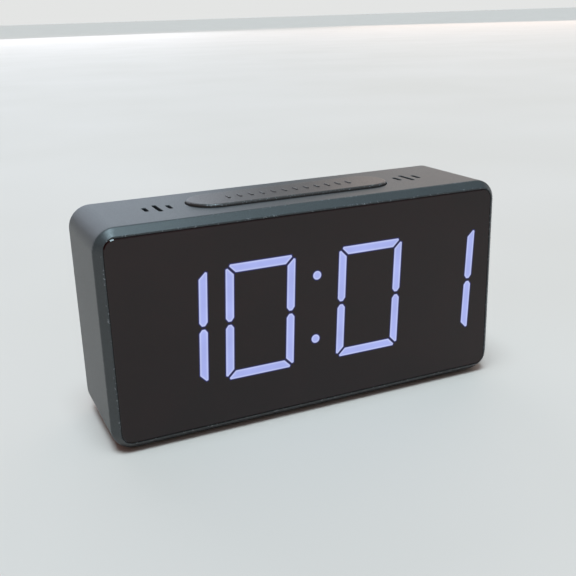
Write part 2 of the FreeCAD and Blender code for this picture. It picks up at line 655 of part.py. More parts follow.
def make_mirror():
    mirror = plate("mirror_panel", "XZ", "Pos.face_y", "Dim.mirror_plate", "0", "Pos.middle_z",
                   "Pos.mirror_width", "Pos.mirror_height", "Dim.mirror_round")
    dress("Chamfer", mirror, "Size", "Dim.mirror_bevel", lies_in("Y", "Pos.face_y"))
    tape = plate("mirror_tape", "XZ", "Pos.mirror_y", "Dim.tape_plate", "0", "Pos.middle_z",
                 "Pos.mirror_width - 2 * Dim.tape_inset", "Pos.mirror_height - 2 * Dim.tape_inset",
                 "Dim.mirror_round - Dim.tape_inset")
    sketch = new_sketch(tape, "XZ", "Pos.mirror_y")
    box(sketch, "0", "Pos.middle_z", "Pos.window_width", "Pos.window_height")
    pocket(tape, sketch, "Dim.tape_plate")


# ---------------------------------------------------------------------------- display

def slanted(x, z):
    """A point of the display, leaned over about the middle height of the digits."""
    middle = value("Pos.digit_z")
    lean = math.tan(math.radians(value("Dim.slant")))
    return FreeCAD.Vector(x + (z - middle) * lean, 0, z)


def segment_outline(name, centre):
    """The corners of one segment of a digit, before the lean, as seen from the front.

    a and d are the top and bottom bars, b and c the right-hand bars, f and e the left-hand ones
    and g is the middle bar. Bars meet on 45 degree mitres, half a gap back from the mitre's line.
    """
    half = value("Dim.digit_width") / 2
    tall = value("Dim.digit_height") / 2
    wide = value("Dim.stroke")
    back = value("Dim.segment_gap") / 2
    low = value("Dim.tip_gap") / 2
    cut = value("Dim.corner_cut")
    blunt = value("Dim.tip_flat") / 2
    rise = value("Dim.tip_rise")
    shift = back * math.sqrt(2)
    if name in "ad":
        corners = [(-half + cut, tall), (half - cut, tall), (half - cut / 2 - shift, tall - cut / 2),
                   (half - wide - shift, tall - wide), (-half + wide + shift, tall - wide),
                   (-half + cut / 2 + shift, tall - cut / 2)]
    elif name == "g":
        inner = half - wide - back
        corners = [(-inner, blunt), (-inner + rise, wide / 2), (inner - rise, wide / 2),
                   (inner, blunt), (inner, -blunt), (inner - rise, -wide / 2),
                   (-inner + rise, -wide / 2), (-inner, -blunt)]
    else:
        mid = half - wide / 2
        corners = [(half, low + rise), (mid + blunt, low), (mid - blunt, low),
                   (half - wide, low + rise), (half - wide, tall - wide - shift),
                   (half - cut / 2, tall - cut / 2 - shift), (half, tall - cut)]
    mirror_x = -1 if name in "ef" else 1
    mirror_z = -1 if name in "cde" else 1
    middle = value("Pos.digit_z")
    return [slanted(centre + x * mirror_x, middle + z * mirror_z) for x, z in corners]


def digit_centres():
    near = value("Dim.middle_pitch") / 2
    far = near + value("Dim.digit_pitch")
    return [-far, -near, near, far]


def prism(outline, start, length):
    """A flat outline in X and Z, as a solid that starts at a place along Y."""
    wire = Part.makePolygon(outline + outline[:1])
    face = Part.Face(wire)
    solid = face.extrude(FreeCAD.Vector(0, length, 0))
    solid.translate(FreeCAD.Vector(0, start, 0))
    return solid


def lamp_solids(start, length, wanted):
    """Solids of the segments and colon dots whose digit number and name are wanted."""
    solids = []
    for digit, centre in enumerate(digit_centres()):
        for name in "abcdefg":
            if wanted(digit, name):
                solids.append(prism(segment_outline(name, centre), start, length))
    for side in (-1, 1):
        if wanted(4, "dot"):
            spot = slanted(0, value("Pos.digit_z") + side * value("Dim.colon_spread") / 2)
            spot.y = start
            back = FreeCAD.Vector(0, 1, 0)
            solids.append(Part.makeCylinder(value("Dim.colon_dot") / 2, length, spot, back))
    return solids


def is_lit(digit, name):
    """The time shown: ten o'clock and one minute."""
    shown = ["bc", "abcdef", "abcdef", "bc", ["dot"]]
    return name in shown[digit]


def shaped(label, shape):
    made = doc.addObject("Part::Feature", label)
    made.Shape = shape
    made.Placement = FreeCAD.Placement()
    return keep(made, label)


def make_display():
    plate("segment_film", "XZ", "Pos.film_y", "Dim.film_plate", "0", "Pos.middle_z",
          "Pos.display_width", "Pos.display_height")
    # The reflector's block goes through the window; its flange rests on the bosses behind it.
    body = doc.addObject("PartDesign::Body", "reflector_block")
    sketch = new_sketch(body, "XZ", "Pos.reflector_y")
    box(sketch, "0", "Pos.middle_z", "Pos.display_width", "Pos.display_height")
    pad(body, sketch, "Dim.reflector_depth")
    sketch = new_sketch(body, "XZ", "Pos.flange_y")
    box(sketch, "0", "Pos.middle_z", "Pos.display_width", "Pos.flange_height")
    pad(body, sketch, "Dim.reflector_flange")
    holes(body, "XZ", "Pos.flange_y - 1", "Dim.reflector_flange + 2", DISPLAY_SCREWS,
          SCREW_PASS["board"])
    doc.recompute()
    # The wells have slanted, mitred outlines that are worked out above, so they are cut in code.
    depth = value("Dim.reflector_depth")
    front = value("Pos.reflector_y")
    wells = lamp_solids(front - 1, depth + 2, lambda digit, name: True)
    shaped("display_reflector", body.Shape.cut(Part.makeCompound(wells)))
    resin = value("Dim.resin_depth")
    lit = lamp_solids(front, resin, is_lit)
    shaped("lit_segments", Part.makeCompound(lit))
    unlit = lamp_solids(front, resin, lambda digit, name: not is_lit(digit, name))
    shaped("unlit_segments", Part.makeCompound(unlit))

    board = plate("display_board", "XZ", "Pos.display_board_y", "Dim.board_plate", "0",
                  "Pos.middle_z", "Pos.display_width", "Pos.flange_height", "Dim.board_round")
    holes(board, "XZ", "Pos.display_board_y - 1", "Dim.board_plate + 2", DISPLAY_SCREWS,
          SCREW_PASS["board"])
    chips = []
    size = (value("Dim.chip_length"), value("Dim.chip_height"), value("Dim.chip_width"))
    for well in wells:
        middle = well.BoundBox.Center
        tall = well.BoundBox.ZLength > 2 * well.BoundBox.XLength
        x_size, y_size, z_size = (size[2], size[1], size[0]) if tall else size
        corner = FreeCAD.Vector(middle.x - x_size / 2, value("Pos.display_board_y") - y_size,
                                middle.z - z_size / 2)
        chips.append(Part.makeBox(x_size, y_size, z_size, corner))
    shaped("led_chips", Part.makeCompound(chips))


# ---------------------------------------------------------------------------- screws

def make_screw(label, core, length, head, head_height):
    """A pan-head screw that points along +Y, with the underside of its head at the origin."""
    body = pattern_piece(new_body(label))
    bosses(body, "XZ", "0", length, [("0", "0")], core)
    bosses(body, "XZ", f"-({head_height})", head_height, [("0", "0")], head)
    dress("Fillet", body, "Radius", f"({head_height}) / 2", lies_in("Y", f"-({head_height})"))
    dress("Chamfer", body, "Size", f"({core}) / 4", lies_in("Y", length))
    sketch = new_sketch(body, "XZ", f"-({head_height})")
    arm = "Dim.recess_arm / 2"
    reach = f"({head}) * 0.3"
    corners = []
    for x_sign, z_sign in ((1, 1), (-1, 1), (-1, -1), (1, -1)):
        spots = [(f"{x_sign} * {reach}", f"{z_sign} * {arm}"), (f"{x_sign} * {arm}", f"{z_sign} * {arm}"),
                 (f"{x_sign} * {arm}", f"{z_sign} * {reach}")]
        corners += spots if x_sign == z_sign else spots[::-1]
    polygon(sketch, corners)
    pocket(body, sketch, f"({head_height}) * 0.6")
    return body


def make_screws():
    cover = make_screw("cover_screw", "Dim.cover_screw", "Dim.cover_screw_length",
                       "Dim.cover_head", "Dim.cover_head_height")
    small = make_screw("board_screw", "Dim.board_screw", "Dim.board_screw_length",
                       "Dim.board_head", "Dim.board_head_height")
    back = "Pos.cover_y - Dim.sink_depth"
    group("cover_screws", [copy_of(cover, (x, back, z), degrees=180) for x, z in COVER_SCREWS])
    back = "Pos.display_back_y"
    group("display_screws", [copy_of(small, (x, back, z), degrees=180) for x, z in DISPLAY_SCREWS])
    front = "Pos.main_front_y"
    group("main_board_screws", [copy_of(small, (x, front, z)) for x, z in MAIN_SCREWS])
    below = "Pos.snooze_board_z - Dim.board_plate"
    group("snooze_board_screws", [copy_of(small, (x, y, below), degrees=90)
                                  for x, y in SNOOZE_SCREWS])


# ---------------------------------------------------------------------------- snooze bar

def make_snooze_bar():
    """The long push bar, hollow below, with a flange that keeps it in the case."""
    body = new_body("snooze_bar")
    sketch = new_sketch(body, "XY", "Pos.flange_base_z")
    slot(sketch, *BAR, "Dim.bar_length", "Dim.bar_width")
    pad(body, sketch, "Pos.bar_top_z - Pos.flange_base_z")
    dress("Fillet", body, "Radius", "Dim.bar_round", lies_in("Z", "Pos.bar_top_z"))
    sketch = new_sketch(body, "XY", "Pos.flange_base_z")
    slot(sketch, *BAR, "Dim.bar_length + 2 * Dim.bar_lip", "Dim.bar_width + 2 * Dim.bar_lip")
    pad(body, sketch, "Dim.bar_flange")
    sketch = new_sketch(body, "XY", "Pos.bar_roof_z")
    slot(sketch, *BAR, "Dim.bar_length - 2 * Dim.bar_side", "Dim.bar_width - 2 * Dim.bar_side")
    pocket(body, sketch, "Pos.bar_roof_z - Pos.flange_base_z")
    roof = "Dim.bar_skin / 2"
    bosses(body, "XY", "Pos.plunger_top_z", f"Pos.bar_roof_z - Pos.plunger_top_z + {roof}", [BAR],
           "Dim.plunger_pad")
    bosses(body, "XY", "Pos.collar_z", f"Pos.bar_roof_z - Pos.collar_z + {roof}", POSTS,
           "Dim.post_collar")
    bosses(body, "XY", "Pos.post_end_z", f"Pos.bar_roof_z - Pos.post_end_z + {roof}", POSTS,
           "Dim.post_diameter")
    sketch = new_sketch(body, "XY", "Pos.bar_top_z - Dim.pip_height")
    count = int(value("Dim.pip_count"))
    for index in range(count):
        x = f"Dim.pip_span * ({index} / (Dim.pip_count - 1) - 0.5)"
        slot(sketch, x, "Dim.bar_middle", "Dim.pip_length", "Dim.pip_width", along="y")
    pad(body, sketch, "2 * Dim.pip_height")
    return body


def make_switches(label, plane, start, spots):
    """Square press switches on a board, bored for their plungers."""
    body = new_body(label)
    sketch = new_sketch(body, plane, start)
    for spot in spots:
        box(sketch, *spot, "Dim.switch_side", "Dim.switch_side", "Dim.moulding_round")
    pad(body, sketch, "Dim.switch_height")
    holes(body, plane, f"{start} + Dim.switch_floor", "Dim.switch_height", spots,
          "Dim.plunger_diameter + 2 * Dim.plunger_gap", outwards=plane == "XY")


def make_snooze_board():
    length = "Pos.snooze_board_length"
    body = plate("snooze_board", "XY", "Pos.snooze_board_z - Dim.board_plate", "Dim.board_plate",
                 *BAR, length, "Pos.snooze_board_width", "Dim.board_round")
    high = "Pos.snooze_board_z + 1"
    holes(body, "XY", high, "Dim.board_plate + 2", SNOOZE_SCREWS, SCREW_PASS["board"])
    holes(body, "XY", high, "Dim.board_plate + 2", POSTS, "Dim.post_diameter + 2 * Dim.post_gap")
    make_switches("snooze_switch", "XY", "Pos.snooze_board_z", [BAR])
    rod("snooze_plunger", "XY", "Pos.snooze_plunger_z",
        "Pos.plunger_top_z - Pos.snooze_plunger_z", *BAR, "Dim.plunger_diameter")
    plate("temperature_sensor", "XY", "Pos.snooze_board_z", "Dim.sensor_height",
          f"Dim.sensor_width - {length} / 2", "Dim.bar_middle", "Dim.sensor_width",
          "Dim.sensor_length", "Dim.moulding_round")


def make_spring(label, wire, radius, height, turns):
    """A coil spring that stands up from the origin: a round wire swept along a helix."""
    path = doc.addObject("Part::Helix", label + "_path")
    path.SegmentLength = 1
    path.setExpression("Height", f"({height}) - ({wire})")
    path.setExpression("Pitch", f"(({height}) - ({wire})) / ({turns})")
    path.setExpression("Radius", radius)
    path.setExpression("Placement.Base.z", f"({wire}) / 2")
    ring = doc.addObject("Part::Circle", label + "_section")
    ring.Placement = FreeCAD.Placement(FreeCAD.Vector(), FreeCAD.Rotation(FreeCAD.Vector(1, 0, 0), 90))
    ring.setExpression("Radius", f"({wire}) / 2")
    ring.setExpression("Placement.Base.x", radius)
    ring.setExpression("Placement.Base.z", f"({wire}) / 2")
    coil = doc.addObject("Part::Sweep", label)
    coil.Sections = [ring]
    path.recompute()
    coil.Spine = (path, [f"Edge{index + 1}" for index in range(len(path.Shape.Edges))])
    coil.Solid = True
    coil.Frenet = True
    return coil


def make_return_springs():
    radius = "(Dim.post_collar - Dim.spring_wire) / 2"
    coil = make_spring("return_spring", "Dim.spring_wire", radius, "Dim.spring_height",
                       "Dim.spring_turns")
    group("snooze_springs", [copy_of(coil, (x, y, "Pos.snooze_board_z")) for x, y in POSTS])


# ---------------------------------------------------------------------------- rear cover

def key_hole():
    return "Dim.key_diameter + 2 * Dim.key_gap"


def make_rear_cover():
    """The recessed back plate, moulded in one with the battery box and the board's bosses."""
    gap = "2 * (Dim.case_wall - Dim.cover_step + Dim.cover_gap)"
    body = plate("rear_cover", "XZ", "Pos.cover_inner_y", "Dim.cover_plate", "0", "Pos.middle_z",
                 f"Dim.case_width - {gap}", f"Dim.case_height - {gap}",
                 "Dim.corner_round - Dim.case_wall + Dim.cover_step - Dim.cover_gap")
    sketch = new_sketch(body, "XZ", "Pos.bay_outer_y")
    wall = "2 * Dim.bay_wall"
    box(sketch, "0", "Dim.bay_middle", f"Dim.bay_length + {wall}", f"Dim.bay_height + {wall}",
        "Dim.bay_wall")
    pad(body, sketch, "Pos.cover_inner_y - Pos.bay_outer_y + Dim.cover_plate / 2")
    sketch = new_sketch(body, "XZ", "Pos.bay_floor_y")
    box(sketch, "0", "Dim.bay_middle", "Dim.bay_length", "Dim.bay_height")
    pocket(body, sketch, "Pos.cover_y - Pos.bay_floor_y + 1")
    sketch = new_sketch(body, "XZ", "Pos.door_inner_y")
    box(sketch, "0", "Dim.bay_middle", "Pos.opening_length", "Pos.opening_height",
        "Dim.door_round + Dim.door_gap")
    pocket(body, sketch, "Dim.door_plate + 1")
    # Two notches in the lower wall of the bay let the door's hooks under the plate.
    for height, end in (("-2 * Dim.bay_wall", "Pos.cover_inner_y"),
                        ("2 * Dim.bay_ledge", "Pos.cover_y")):
        sketch = new_sketch(body, "XZ", "Pos.notch_y")
        for x in HOOKS:
            box(sketch, x, f"Pos.opening_bottom_z + {height} / 2",
                "Dim.hook_width + 2 * Dim.hook_gap", height.lstrip("-"))
        pocket(body, sketch, f"{end} - Pos.notch_y")

    bosses(body, "XZ", "Pos.main_back_y",
           "Pos.cover_inner_y - Pos.main_back_y + Dim.cover_plate / 2", MAIN_SCREWS,
           "Pos.board_boss")
    holes(body, "XZ", "Pos.main_back_y - 1", "Dim.board_screw_length - Dim.board_plate + 1.5",
          MAIN_SCREWS, "Pos.board_pilot")
    before = "Pos.cover_inner_y - 1"
    through = "Dim.cover_plate + 2"
    holes(body, "XZ", before, through, COVER_SCREWS, SCREW_PASS["cover"])
    holes(body, "XZ", "Pos.cover_y - Dim.sink_depth", "Dim.sink_depth + 1", COVER_SCREWS,
          "Dim.cover_head + 2 * Dim.hole_gap")
    holes(body, "XZ", before, through, KEY_SPOTS, key_hole())
    holes(body, "XZ", before, through, [("Dim.socket_x", "Dim.key_row")],
          "Dim.socket_diameter + 2 * Dim.socket_gap")
    sketch = new_sketch(body, "XZ", before)
    box(sketch, "-Dim.slide_x", "Dim.key_row",
        "Dim.knob_length + Dim.knob_travel + 2 * Dim.knob_gap", "Dim.knob_width + 2 * Dim.knob_gap",
        "Dim.knob_gap")
    pocket(body, sketch, through)
    return body


def make_keys():
    """Four push keys behind, each with a flange inside the cover and a stem for its switch."""
    make_switches("key_switches", "XZ", "Pos.main_back_y", KEY_SPOTS)
    for (name, step), spot in zip(KEYS, KEY_SPOTS):
        key = rod(f"{name}_key", "XZ", "Pos.key_flange_y",
                  "Pos.cover_y + Dim.key_stand - Pos.key_flange_y", *spot, "Dim.key_diameter")
        top = lies_in("Y", "Pos.cover_y + Dim.key_stand")
        dress("Fillet", key, "Radius", "Dim.key_round", top)
        bosses(key, "XZ", "Pos.key_flange_y", "Dim.key_flange", [spot],
               "Dim.key_diameter + 2 * Dim.key_lip")
        bosses(key, "XZ", "Pos.key_stem_y", "Dim.key_stem + Dim.key_flange", [spot],
               "Dim.plunger_pad")
        rod(f"{name}_plunger", "XZ", "Pos.key_plunger_y", "Pos.key_stem_y - Pos.key_plunger_y",
            *spot, "Dim.plunger_diameter")


# ---------------------------------------------------------------------------- main board

def make_slide_switch():
    spot = ("-Dim.slide_x", "Dim.key_row")
    run = "Dim.knob_length + Dim.knob_travel + 2 * Dim.knob_gap"
    body = plate("slide_switch", "XZ", "Pos.main_back_y", "Dim.slide_height", *spot,
                 "Dim.slide_length", "Dim.slide_width", "Dim.moulding_round")
    floor = "Pos.main_back_y + Dim.slide_height - Dim.knob_root - Dim.knob_gap"
    sketch = new_sketch(body, "XZ", floor)
    box(sketch, *spot, run, "Dim.knob_width + 2 * Dim.knob_gap")
    pocket(body, sketch, "Dim.knob_root + Dim.knob_gap + 1")
    root = f"{floor} + Dim.knob_gap"
    top = "Pos.cover_y + Dim.knob_stand"
    knob = plate("slide_knob", "XZ", root, f"{top} - ({root})", *spot, "Dim.knob_length",
                 "Dim.knob_width", "Dim.knob_gap")
    dress("Chamfer", knob, "Size", "Dim.knob_gap", lies_in("Y", top))
    # Two grooves across the knob for a fingernail.
    sketch = new_sketch(knob, "XZ", top + " - Dim.knob_gap")
    for side in "-+":
        box(sketch, f"-Dim.slide_x {side} Dim.knob_length / 5", "Dim.key_row",
            "Dim.knob_groove", "Dim.knob_width + 1")
    pocket(knob, sketch, "Dim.knob_gap + 1")


def make_power_socket():
    spot = ("Dim.socket_x", "Dim.key_row")
    body = plate("power_socket", "XZ", "Pos.main_back_y", "Dim.slide_height", *spot,
                 "Dim.socket_diameter + 1", "Dim.socket_diameter + 1", "Dim.moulding_round")
    bosses(body, "XZ", "Pos.main_back_y", "Pos.cover_y - Pos.main_back_y", [spot],
           "Dim.socket_diameter")
    holes(body, "XZ", "Pos.cover_y - Dim.socket_depth", "Dim.socket_depth + 1", [spot],
          "Dim.socket_bore")
    # The centre pin, a contact of its own, is pressed into the bottom of the bore.
    pin = rod("socket_pin", "XZ", "Pos.cover_y - Dim.socket_depth",
              "Dim.socket_depth - Dim.socket_pin_short", *spot, "Dim.socket_pin")
    dress("Fillet", pin, "Radius", "Dim.socket_pin / 4",
          lies_in("Y", "Pos.cover_y - Dim.socket_pin_short"))


def make_main_board():
    body = plate("main_board", "XZ", "Pos.main_front_y", "Dim.board_plate", "0", "Dim.key_row",
                 "Dim.board_length", "Dim.board_height", "Dim.board_round")
    holes(body, "XZ", "Pos.main_front_y - 1", "Dim.board_plate + 2", MAIN_SCREWS,
          SCREW_PASS["board"])
    make_slide_switch()
    make_power_socket()
    front = "Pos.main_front_y"
    plate("controller_chip", "XZ", f"{front} - Dim.controller_height", "Dim.controller_height",
          "-Dim.controller_x", "Dim.key_row", "Dim.controller_length", "Dim.controller_width",
          "Dim.moulding_round / 2")
    crystal = new_body("crystal")
    sketch = new_sketch(crystal, "XZ", f"{front} - Dim.crystal_height")
    slot(sketch, "-Dim.crystal_x", "Dim.key_row", "Dim.crystal_length", "Dim.crystal_width")
    pad(crystal, sketch, "Dim.crystal_height")
    top = f"{front} - Dim.capacitor_height"
    capacitor = rod("capacitor", "XZ", top, "Dim.capacitor_height", "Dim.capacitor_x",
                    "Dim.key_row", "Dim.capacitor_diameter")
    dress("Fillet", capacitor, "Radius", "Dim.moulding_round", lies_in("Y", top))
    spot = ("Dim.buzzer_x", "Dim.key_row")
    top = f"{front} - Dim.buzzer_height"
    buzzer = rod("buzzer", "XZ", top, "Dim.buzzer_height", *spot, "Dim.buzzer_diameter")
    holes(buzzer, "XZ", top, "Dim.buzzer_height / 2", [spot], "Dim.buzzer_hole")


# ---------------------------------------------------------------------------- battery bay

def make_door():
    """The battery door: it hooks under the plate below and tips out about its lower edge."""
    gap = "2 * Dim.door_gap"
    body = plate("battery_door", "XZ", "Pos.door_inner_y", "Dim.door_plate", "0", "Dim.bay_middle",
                 f"Pos.opening_length - {gap}", f"Pos.opening_height - {gap}", "Dim.door_round")
    edge_z = "Pos.opening_bottom_z + Dim.door_gap"
    leg = ("Pos.door_inner_y - Pos.hook_y + Dim.door_plate / 2", edge_z,
           f"{edge_z} + Dim.hook_plate")
    tab = ("Dim.hook_plate", "Pos.opening_bottom_z - Dim.hook_reach",
           f"{edge_z} + Dim.hook_plate / 2")
    for length, low, high in (leg, tab):
        sketch = new_sketch(body, "XZ", "Pos.hook_y")
        for x in HOOKS:
            box(sketch, x, f"({low} + {high}) / 2", "Dim.hook_width", f"{high} - ({low})")
        pad(body, sketch, length)
    # A spring tongue at the top: a slit at each side of it and finger ribs across it.
    sketch = new_sketch(body, "XZ", "Pos.door_inner_y - 1")
    for side in "-+":
        box(sketch, f"{side}Dim.latch_width / 2", "Pos.door_top_z - Dim.latch_length / 2",
            "Dim.latch_slit", "Dim.latch_length")
    pocket(body, sketch, "Dim.door_plate + 2")
    sketch = new_sketch(body, "XZ", "Pos.cover_y - Dim.door_plate / 2")
    for step in range(3):
        slot(sketch, "0", f"Pos.door_top_z - Dim.grip_pitch * {step + 1.25}", "Dim.grip_length",
             "Dim.grip_width")
    pad(body, sketch, "Dim.grip_height + Dim.door_plate / 2")


def make_battery_parts():
    """Three cells in series, turned about from row to row, between springs and flat contacts."""
    back = "Dim.bay_length / 2 - Dim.contact_plate"
    cell = pattern_piece(new_body("cell"))
    bosses(cell, "YZ", "Dim.nub_length - Dim.cell_length", "Dim.cell_length - Dim.nub_length",
           [("0", "0")], "Dim.cell_diameter")
    ends = lies_in("X", "Dim.nub_length - Dim.cell_length")
    dress("Fillet", cell, "Radius", "Dim.nub_length / 2", ends)
    front = lies_in("X", "0", lambda edge: edge.BoundBox.YLength > value("Dim.nub_diameter") + 1)
    dress("Fillet", cell, "Radius", "Dim.nub_length / 2", front)
    bosses(cell, "YZ", "-1", "Dim.nub_length + 1", [("0", "0")], "Dim.nub_diameter")
    coil = make_spring("contact_spring", "Dim.contact_wire", "Dim.contact_coil / 2",
                       f"2 * ({back}) - Dim.cell_length", "Dim.contact_turns")
    cells = []
    springs = []
    for row, z in enumerate(CELL_ROWS):
        side = 1 if row % 2 == 0 else -1
        nose = f"{side} * ({back} - Dim.nub_length)"
        upright = (0, 1, 0)
        cells.append(copy_of(cell, (nose, "Pos.cell_y", z), upright, 90 * (1 - side)))
        springs.append(copy_of(coil, (f"{-side} * ({back})", "Pos.cell_y", z), upright, 90 * side))
    group("battery_cells", cells)
    group("battery_springs", springs)
    make_contacts()


def make_contacts():
    """Sprung-steel plates at both ends of the bay; the longer ones join two rows."""
    body = new_body("battery_contacts")
    for side in (-1, 1):
        inner = "Dim.bay_length / 2 - Dim.contact_plate"
        start = "-Dim.bay_length / 2" if side < 0 else inner
        joined = (CELL_ROWS[0], CELL_ROWS[1]) if side < 0 else (CELL_ROWS[1], CELL_ROWS[2])
        alone = CELL_ROWS[2] if side < 0 else CELL_ROWS[0]
        sketch = new_sketch(body, "YZ", start)
        box(sketch, "Pos.cell_y", f"(({joined[0]}) + ({joined[1]})) / 2", "Dim.contact_side",
            "Dim.contact_side + Dim.cell_pitch")
        box(sketch, "Pos.cell_y", alone, "Dim.contact_side", "Dim.contact_side")
        pad(body, sketch, "Dim.contact_plate")
    return body


# ---------------------------------------------------------------------------- wiring

def rounded_path(points, share=0.45):
    """Straight runs joined by tangent arcs, each as large as its two runs allow."""
    edges = []
    here = points[0]
    for index in range(1, len(points) - 1):
        corner = points[index]
        back = points[index - 1] - corner
        ahead = points[index + 1] - corner
        trim = share * min(back.Length, ahead.Length)
        back.normalize()
        ahead.normalize()
        start = corner + back * trim
        end = corner + ahead * trim
        half = back.getAngle(ahead) / 2
        radius = trim * math.tan(half)
        inward = (back + ahead).normalize()
        middle = corner + inward * (radius / math.sin(half) - radius)
        edges.append(Part.LineSegment(here, start).toShape())
        edges.append(Part.Arc(start, middle, end).toShape())
        here = end
    edges.append(Part.LineSegment(here, points[-1]).toShape())
    return Part.Wire(edges)


def swept(points, section):
    """A section carried along a path; the section is already at the path's first point."""
    path = rounded_path(points)
    return path.makePipeShell([section], True, True)


def make_lead(points):
    along = points[1] - points[0]
    ring = Part.makeCircle(value("Dim.lead_diameter") / 2, points[0], along)
    return swept(points, Part.Wire([ring]))


def make_flat_cable(label, x, width, points):
    """A flat cable that runs in a plane across X, through points given as Y and Z."""
    thick = value("Dim.ribbon_plate")
    path = [FreeCAD.Vector(x, y, z) for y, z in points]
    along = (path[1] - path[0]).normalize()
    across = FreeCAD.Vector(1, 0, 0) * (width / 2)
    rise = along.cross(FreeCAD.Vector(1, 0, 0)) * (thick / 2)
    start = path[0]
    corners = [start + across + rise, start - across + rise, start - across - rise,
               start + across - rise]
    return shaped(label, swept(path, Part.makePolygon(corners + corners[:1])))


def make_wiring():
    """Flat cables from the main board to the other two boards, and the battery leads."""
    x = value("Dim.ribbon_x")
    width = value("Dim.ribbon_width")
    row = value("Dim.key_row")
    tall = value("Dim.header_height")
    display_end = value("Pos.display_back_y") + tall
    main_end = value("Pos.main_front_y") - tall
    span = main_end - display_end
    sag = value("Dim.ribbon_sag")
    points = [(display_end, row), (display_end + 0.27 * span, row),
              (display_end + 0.42 * span, row - sag), (main_end - 0.42 * span, row - sag),
              (main_end - 0.27 * span, row), (main_end, row)]
    make_flat_cable("display_cable", x, width, points)
    headers = new_body("cable_headers")
    for start in ("Pos.display_back_y", "Pos.main_front_y - Dim.header_height"):
        sketch = new_sketch(headers, "XZ", start)
        box(sketch, "Dim.ribbon_x", "Dim.key_row", "Dim.ribbon_width + 2", "Dim.header_width")
        pad(headers, sketch, "Dim.header_height")

    narrow = width / 2
    high = value("Pos.snooze_board_z - Dim.board_plate")
    level = row + value("Dim.board_height") / 4
    near = value("Pos.main_front_y")
    bend = near - value("Dim.cable_reach")
    make_flat_cable("snooze_cable", x - 1.5 * width, narrow,
                    [(bend, high), (bend, level), (near, level)])

    start = value("Pos.bay_outer_y - Dim.contact_pin")
    out = start - value("Dim.lead_run")
    side = value("Dim.bay_length / 2 - Dim.lead_inset")
    end_z = value("Dim.key_row - Dim.board_height / 2 + Dim.lead_diameter")
    solids = []
    for sign, z in ((1, value(CELL_ROWS[0])), (-1, value(CELL_ROWS[2]))):
        route = [(side, start, z), (side, out, z)]
        if end_z - z > 4 * value("Dim.lead_run"):
            route.append((side + 2, out - 1, (z + end_z) / 2))
        route += [(side, out, end_z), (side, near, end_z)]
        solids.append(make_lead([FreeCAD.Vector(sign * across, y, up) for across, y, up in route]))
    shaped("battery_leads", Part.makeCompound(solids))
    pins = new_body("battery_pins")
    sketch = new_sketch(pins, "XZ", "Pos.bay_outer_y - Dim.contact_pin")
    circle(sketch, "Dim.bay_length / 2 - Dim.lead_inset", CELL_ROWS[0], "Dim.contact_pin_wide")
    circle(sketch, "Dim.lead_inset - Dim.bay_length / 2", CELL_ROWS[2], "Dim.contact_pin_wide")
    pad(pins, sketch, "Dim.contact_pin")


# ---------------------------------------------------------------------------- the whole clock

make_case_shell()
make_mirror()
make_display()
make_snooze_bar()
make_snooze_board()
make_return_springs()
make_rear_cover()
make_main_board()
make_keys()
make_door()
make_battery_parts()
make_wiring()
make_feet()
make_screws()
doc.recompute()

for item in doc.Objects:
    if "Invalid" in item.State or "Error" in item.State:
        raise RuntimeError(f"{item.Label} failed: {item.State}")
for node in nodes:
    if node.Shape.isNull() or not node.Shape.isValid():
        raise RuntimeError(f"{node.Label} has no valid shape")

os.makedirs("parts", exist_ok=True)
for node in nodes:
    node.Shape.exportStep(os.path.join("parts", node.Label + ".step"))
print(len(nodes), "sub-parts")
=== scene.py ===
import math
import bmesh
import bpy
import numpy as np
from mathutils import Matrix, Vector
from mathutils.geometry import tessellate_polygon


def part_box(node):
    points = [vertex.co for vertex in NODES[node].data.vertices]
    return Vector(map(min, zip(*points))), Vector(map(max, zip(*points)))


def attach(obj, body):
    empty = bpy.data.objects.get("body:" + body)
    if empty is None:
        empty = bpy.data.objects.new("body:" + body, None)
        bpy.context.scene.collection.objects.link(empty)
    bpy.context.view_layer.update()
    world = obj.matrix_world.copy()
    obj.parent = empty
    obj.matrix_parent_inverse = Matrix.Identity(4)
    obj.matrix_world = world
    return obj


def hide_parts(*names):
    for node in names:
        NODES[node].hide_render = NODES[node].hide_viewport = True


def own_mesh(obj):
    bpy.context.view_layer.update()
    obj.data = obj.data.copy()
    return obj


# A desk alarm clock: a dark moulded case with a chamfered front, a black mirror with glowing
# seven-segment bars in it, a long snooze bar between sound slots, and controls behind.
# Units are metres; sizes are written in millimetres times MM.

MM = 0.001
WELD = 0.002 * MM
FLAT = math.radians(0.5)
CREASE = math.radians(38)

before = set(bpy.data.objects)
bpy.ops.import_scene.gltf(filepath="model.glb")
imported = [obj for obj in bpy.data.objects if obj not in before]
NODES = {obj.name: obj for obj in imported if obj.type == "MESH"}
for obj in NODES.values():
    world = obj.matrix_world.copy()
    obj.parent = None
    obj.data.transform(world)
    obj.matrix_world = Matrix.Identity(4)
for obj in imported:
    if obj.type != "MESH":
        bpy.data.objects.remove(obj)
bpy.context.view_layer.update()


def span(node):
    """The lowest and highest corner of a CAD node, as two arrays."""
    low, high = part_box(node)
    return np.array(low), np.array(high)


# ------------------------------------------------------------------ sizes taken from the frame

CASE_LOW, CASE_HIGH = span("case_shell")
MIRROR_LOW, MIRROR_HIGH = span("mirror_panel")
TAPE_HIGH = span("mirror_tape")[1]
FILM_LOW, FILM_HIGH = span("segment_film")
COVER_HIGH = span("rear_cover")[1]
BAR_LOW, BAR_HIGH = span("snooze_bar")
SPRING_LOW, SPRING_HIGH = span("snooze_springs")
FEET_LOW, FEET_HIGH = span("feet")
MIDDLE_Z = (CASE_LOW[2] + CASE_HIGH[2]) / 2
CASE_WIDTH = CASE_HIGH[0] - CASE_LOW[0]
CASE_HEIGHT = CASE_HIGH[2] - CASE_LOW[2]

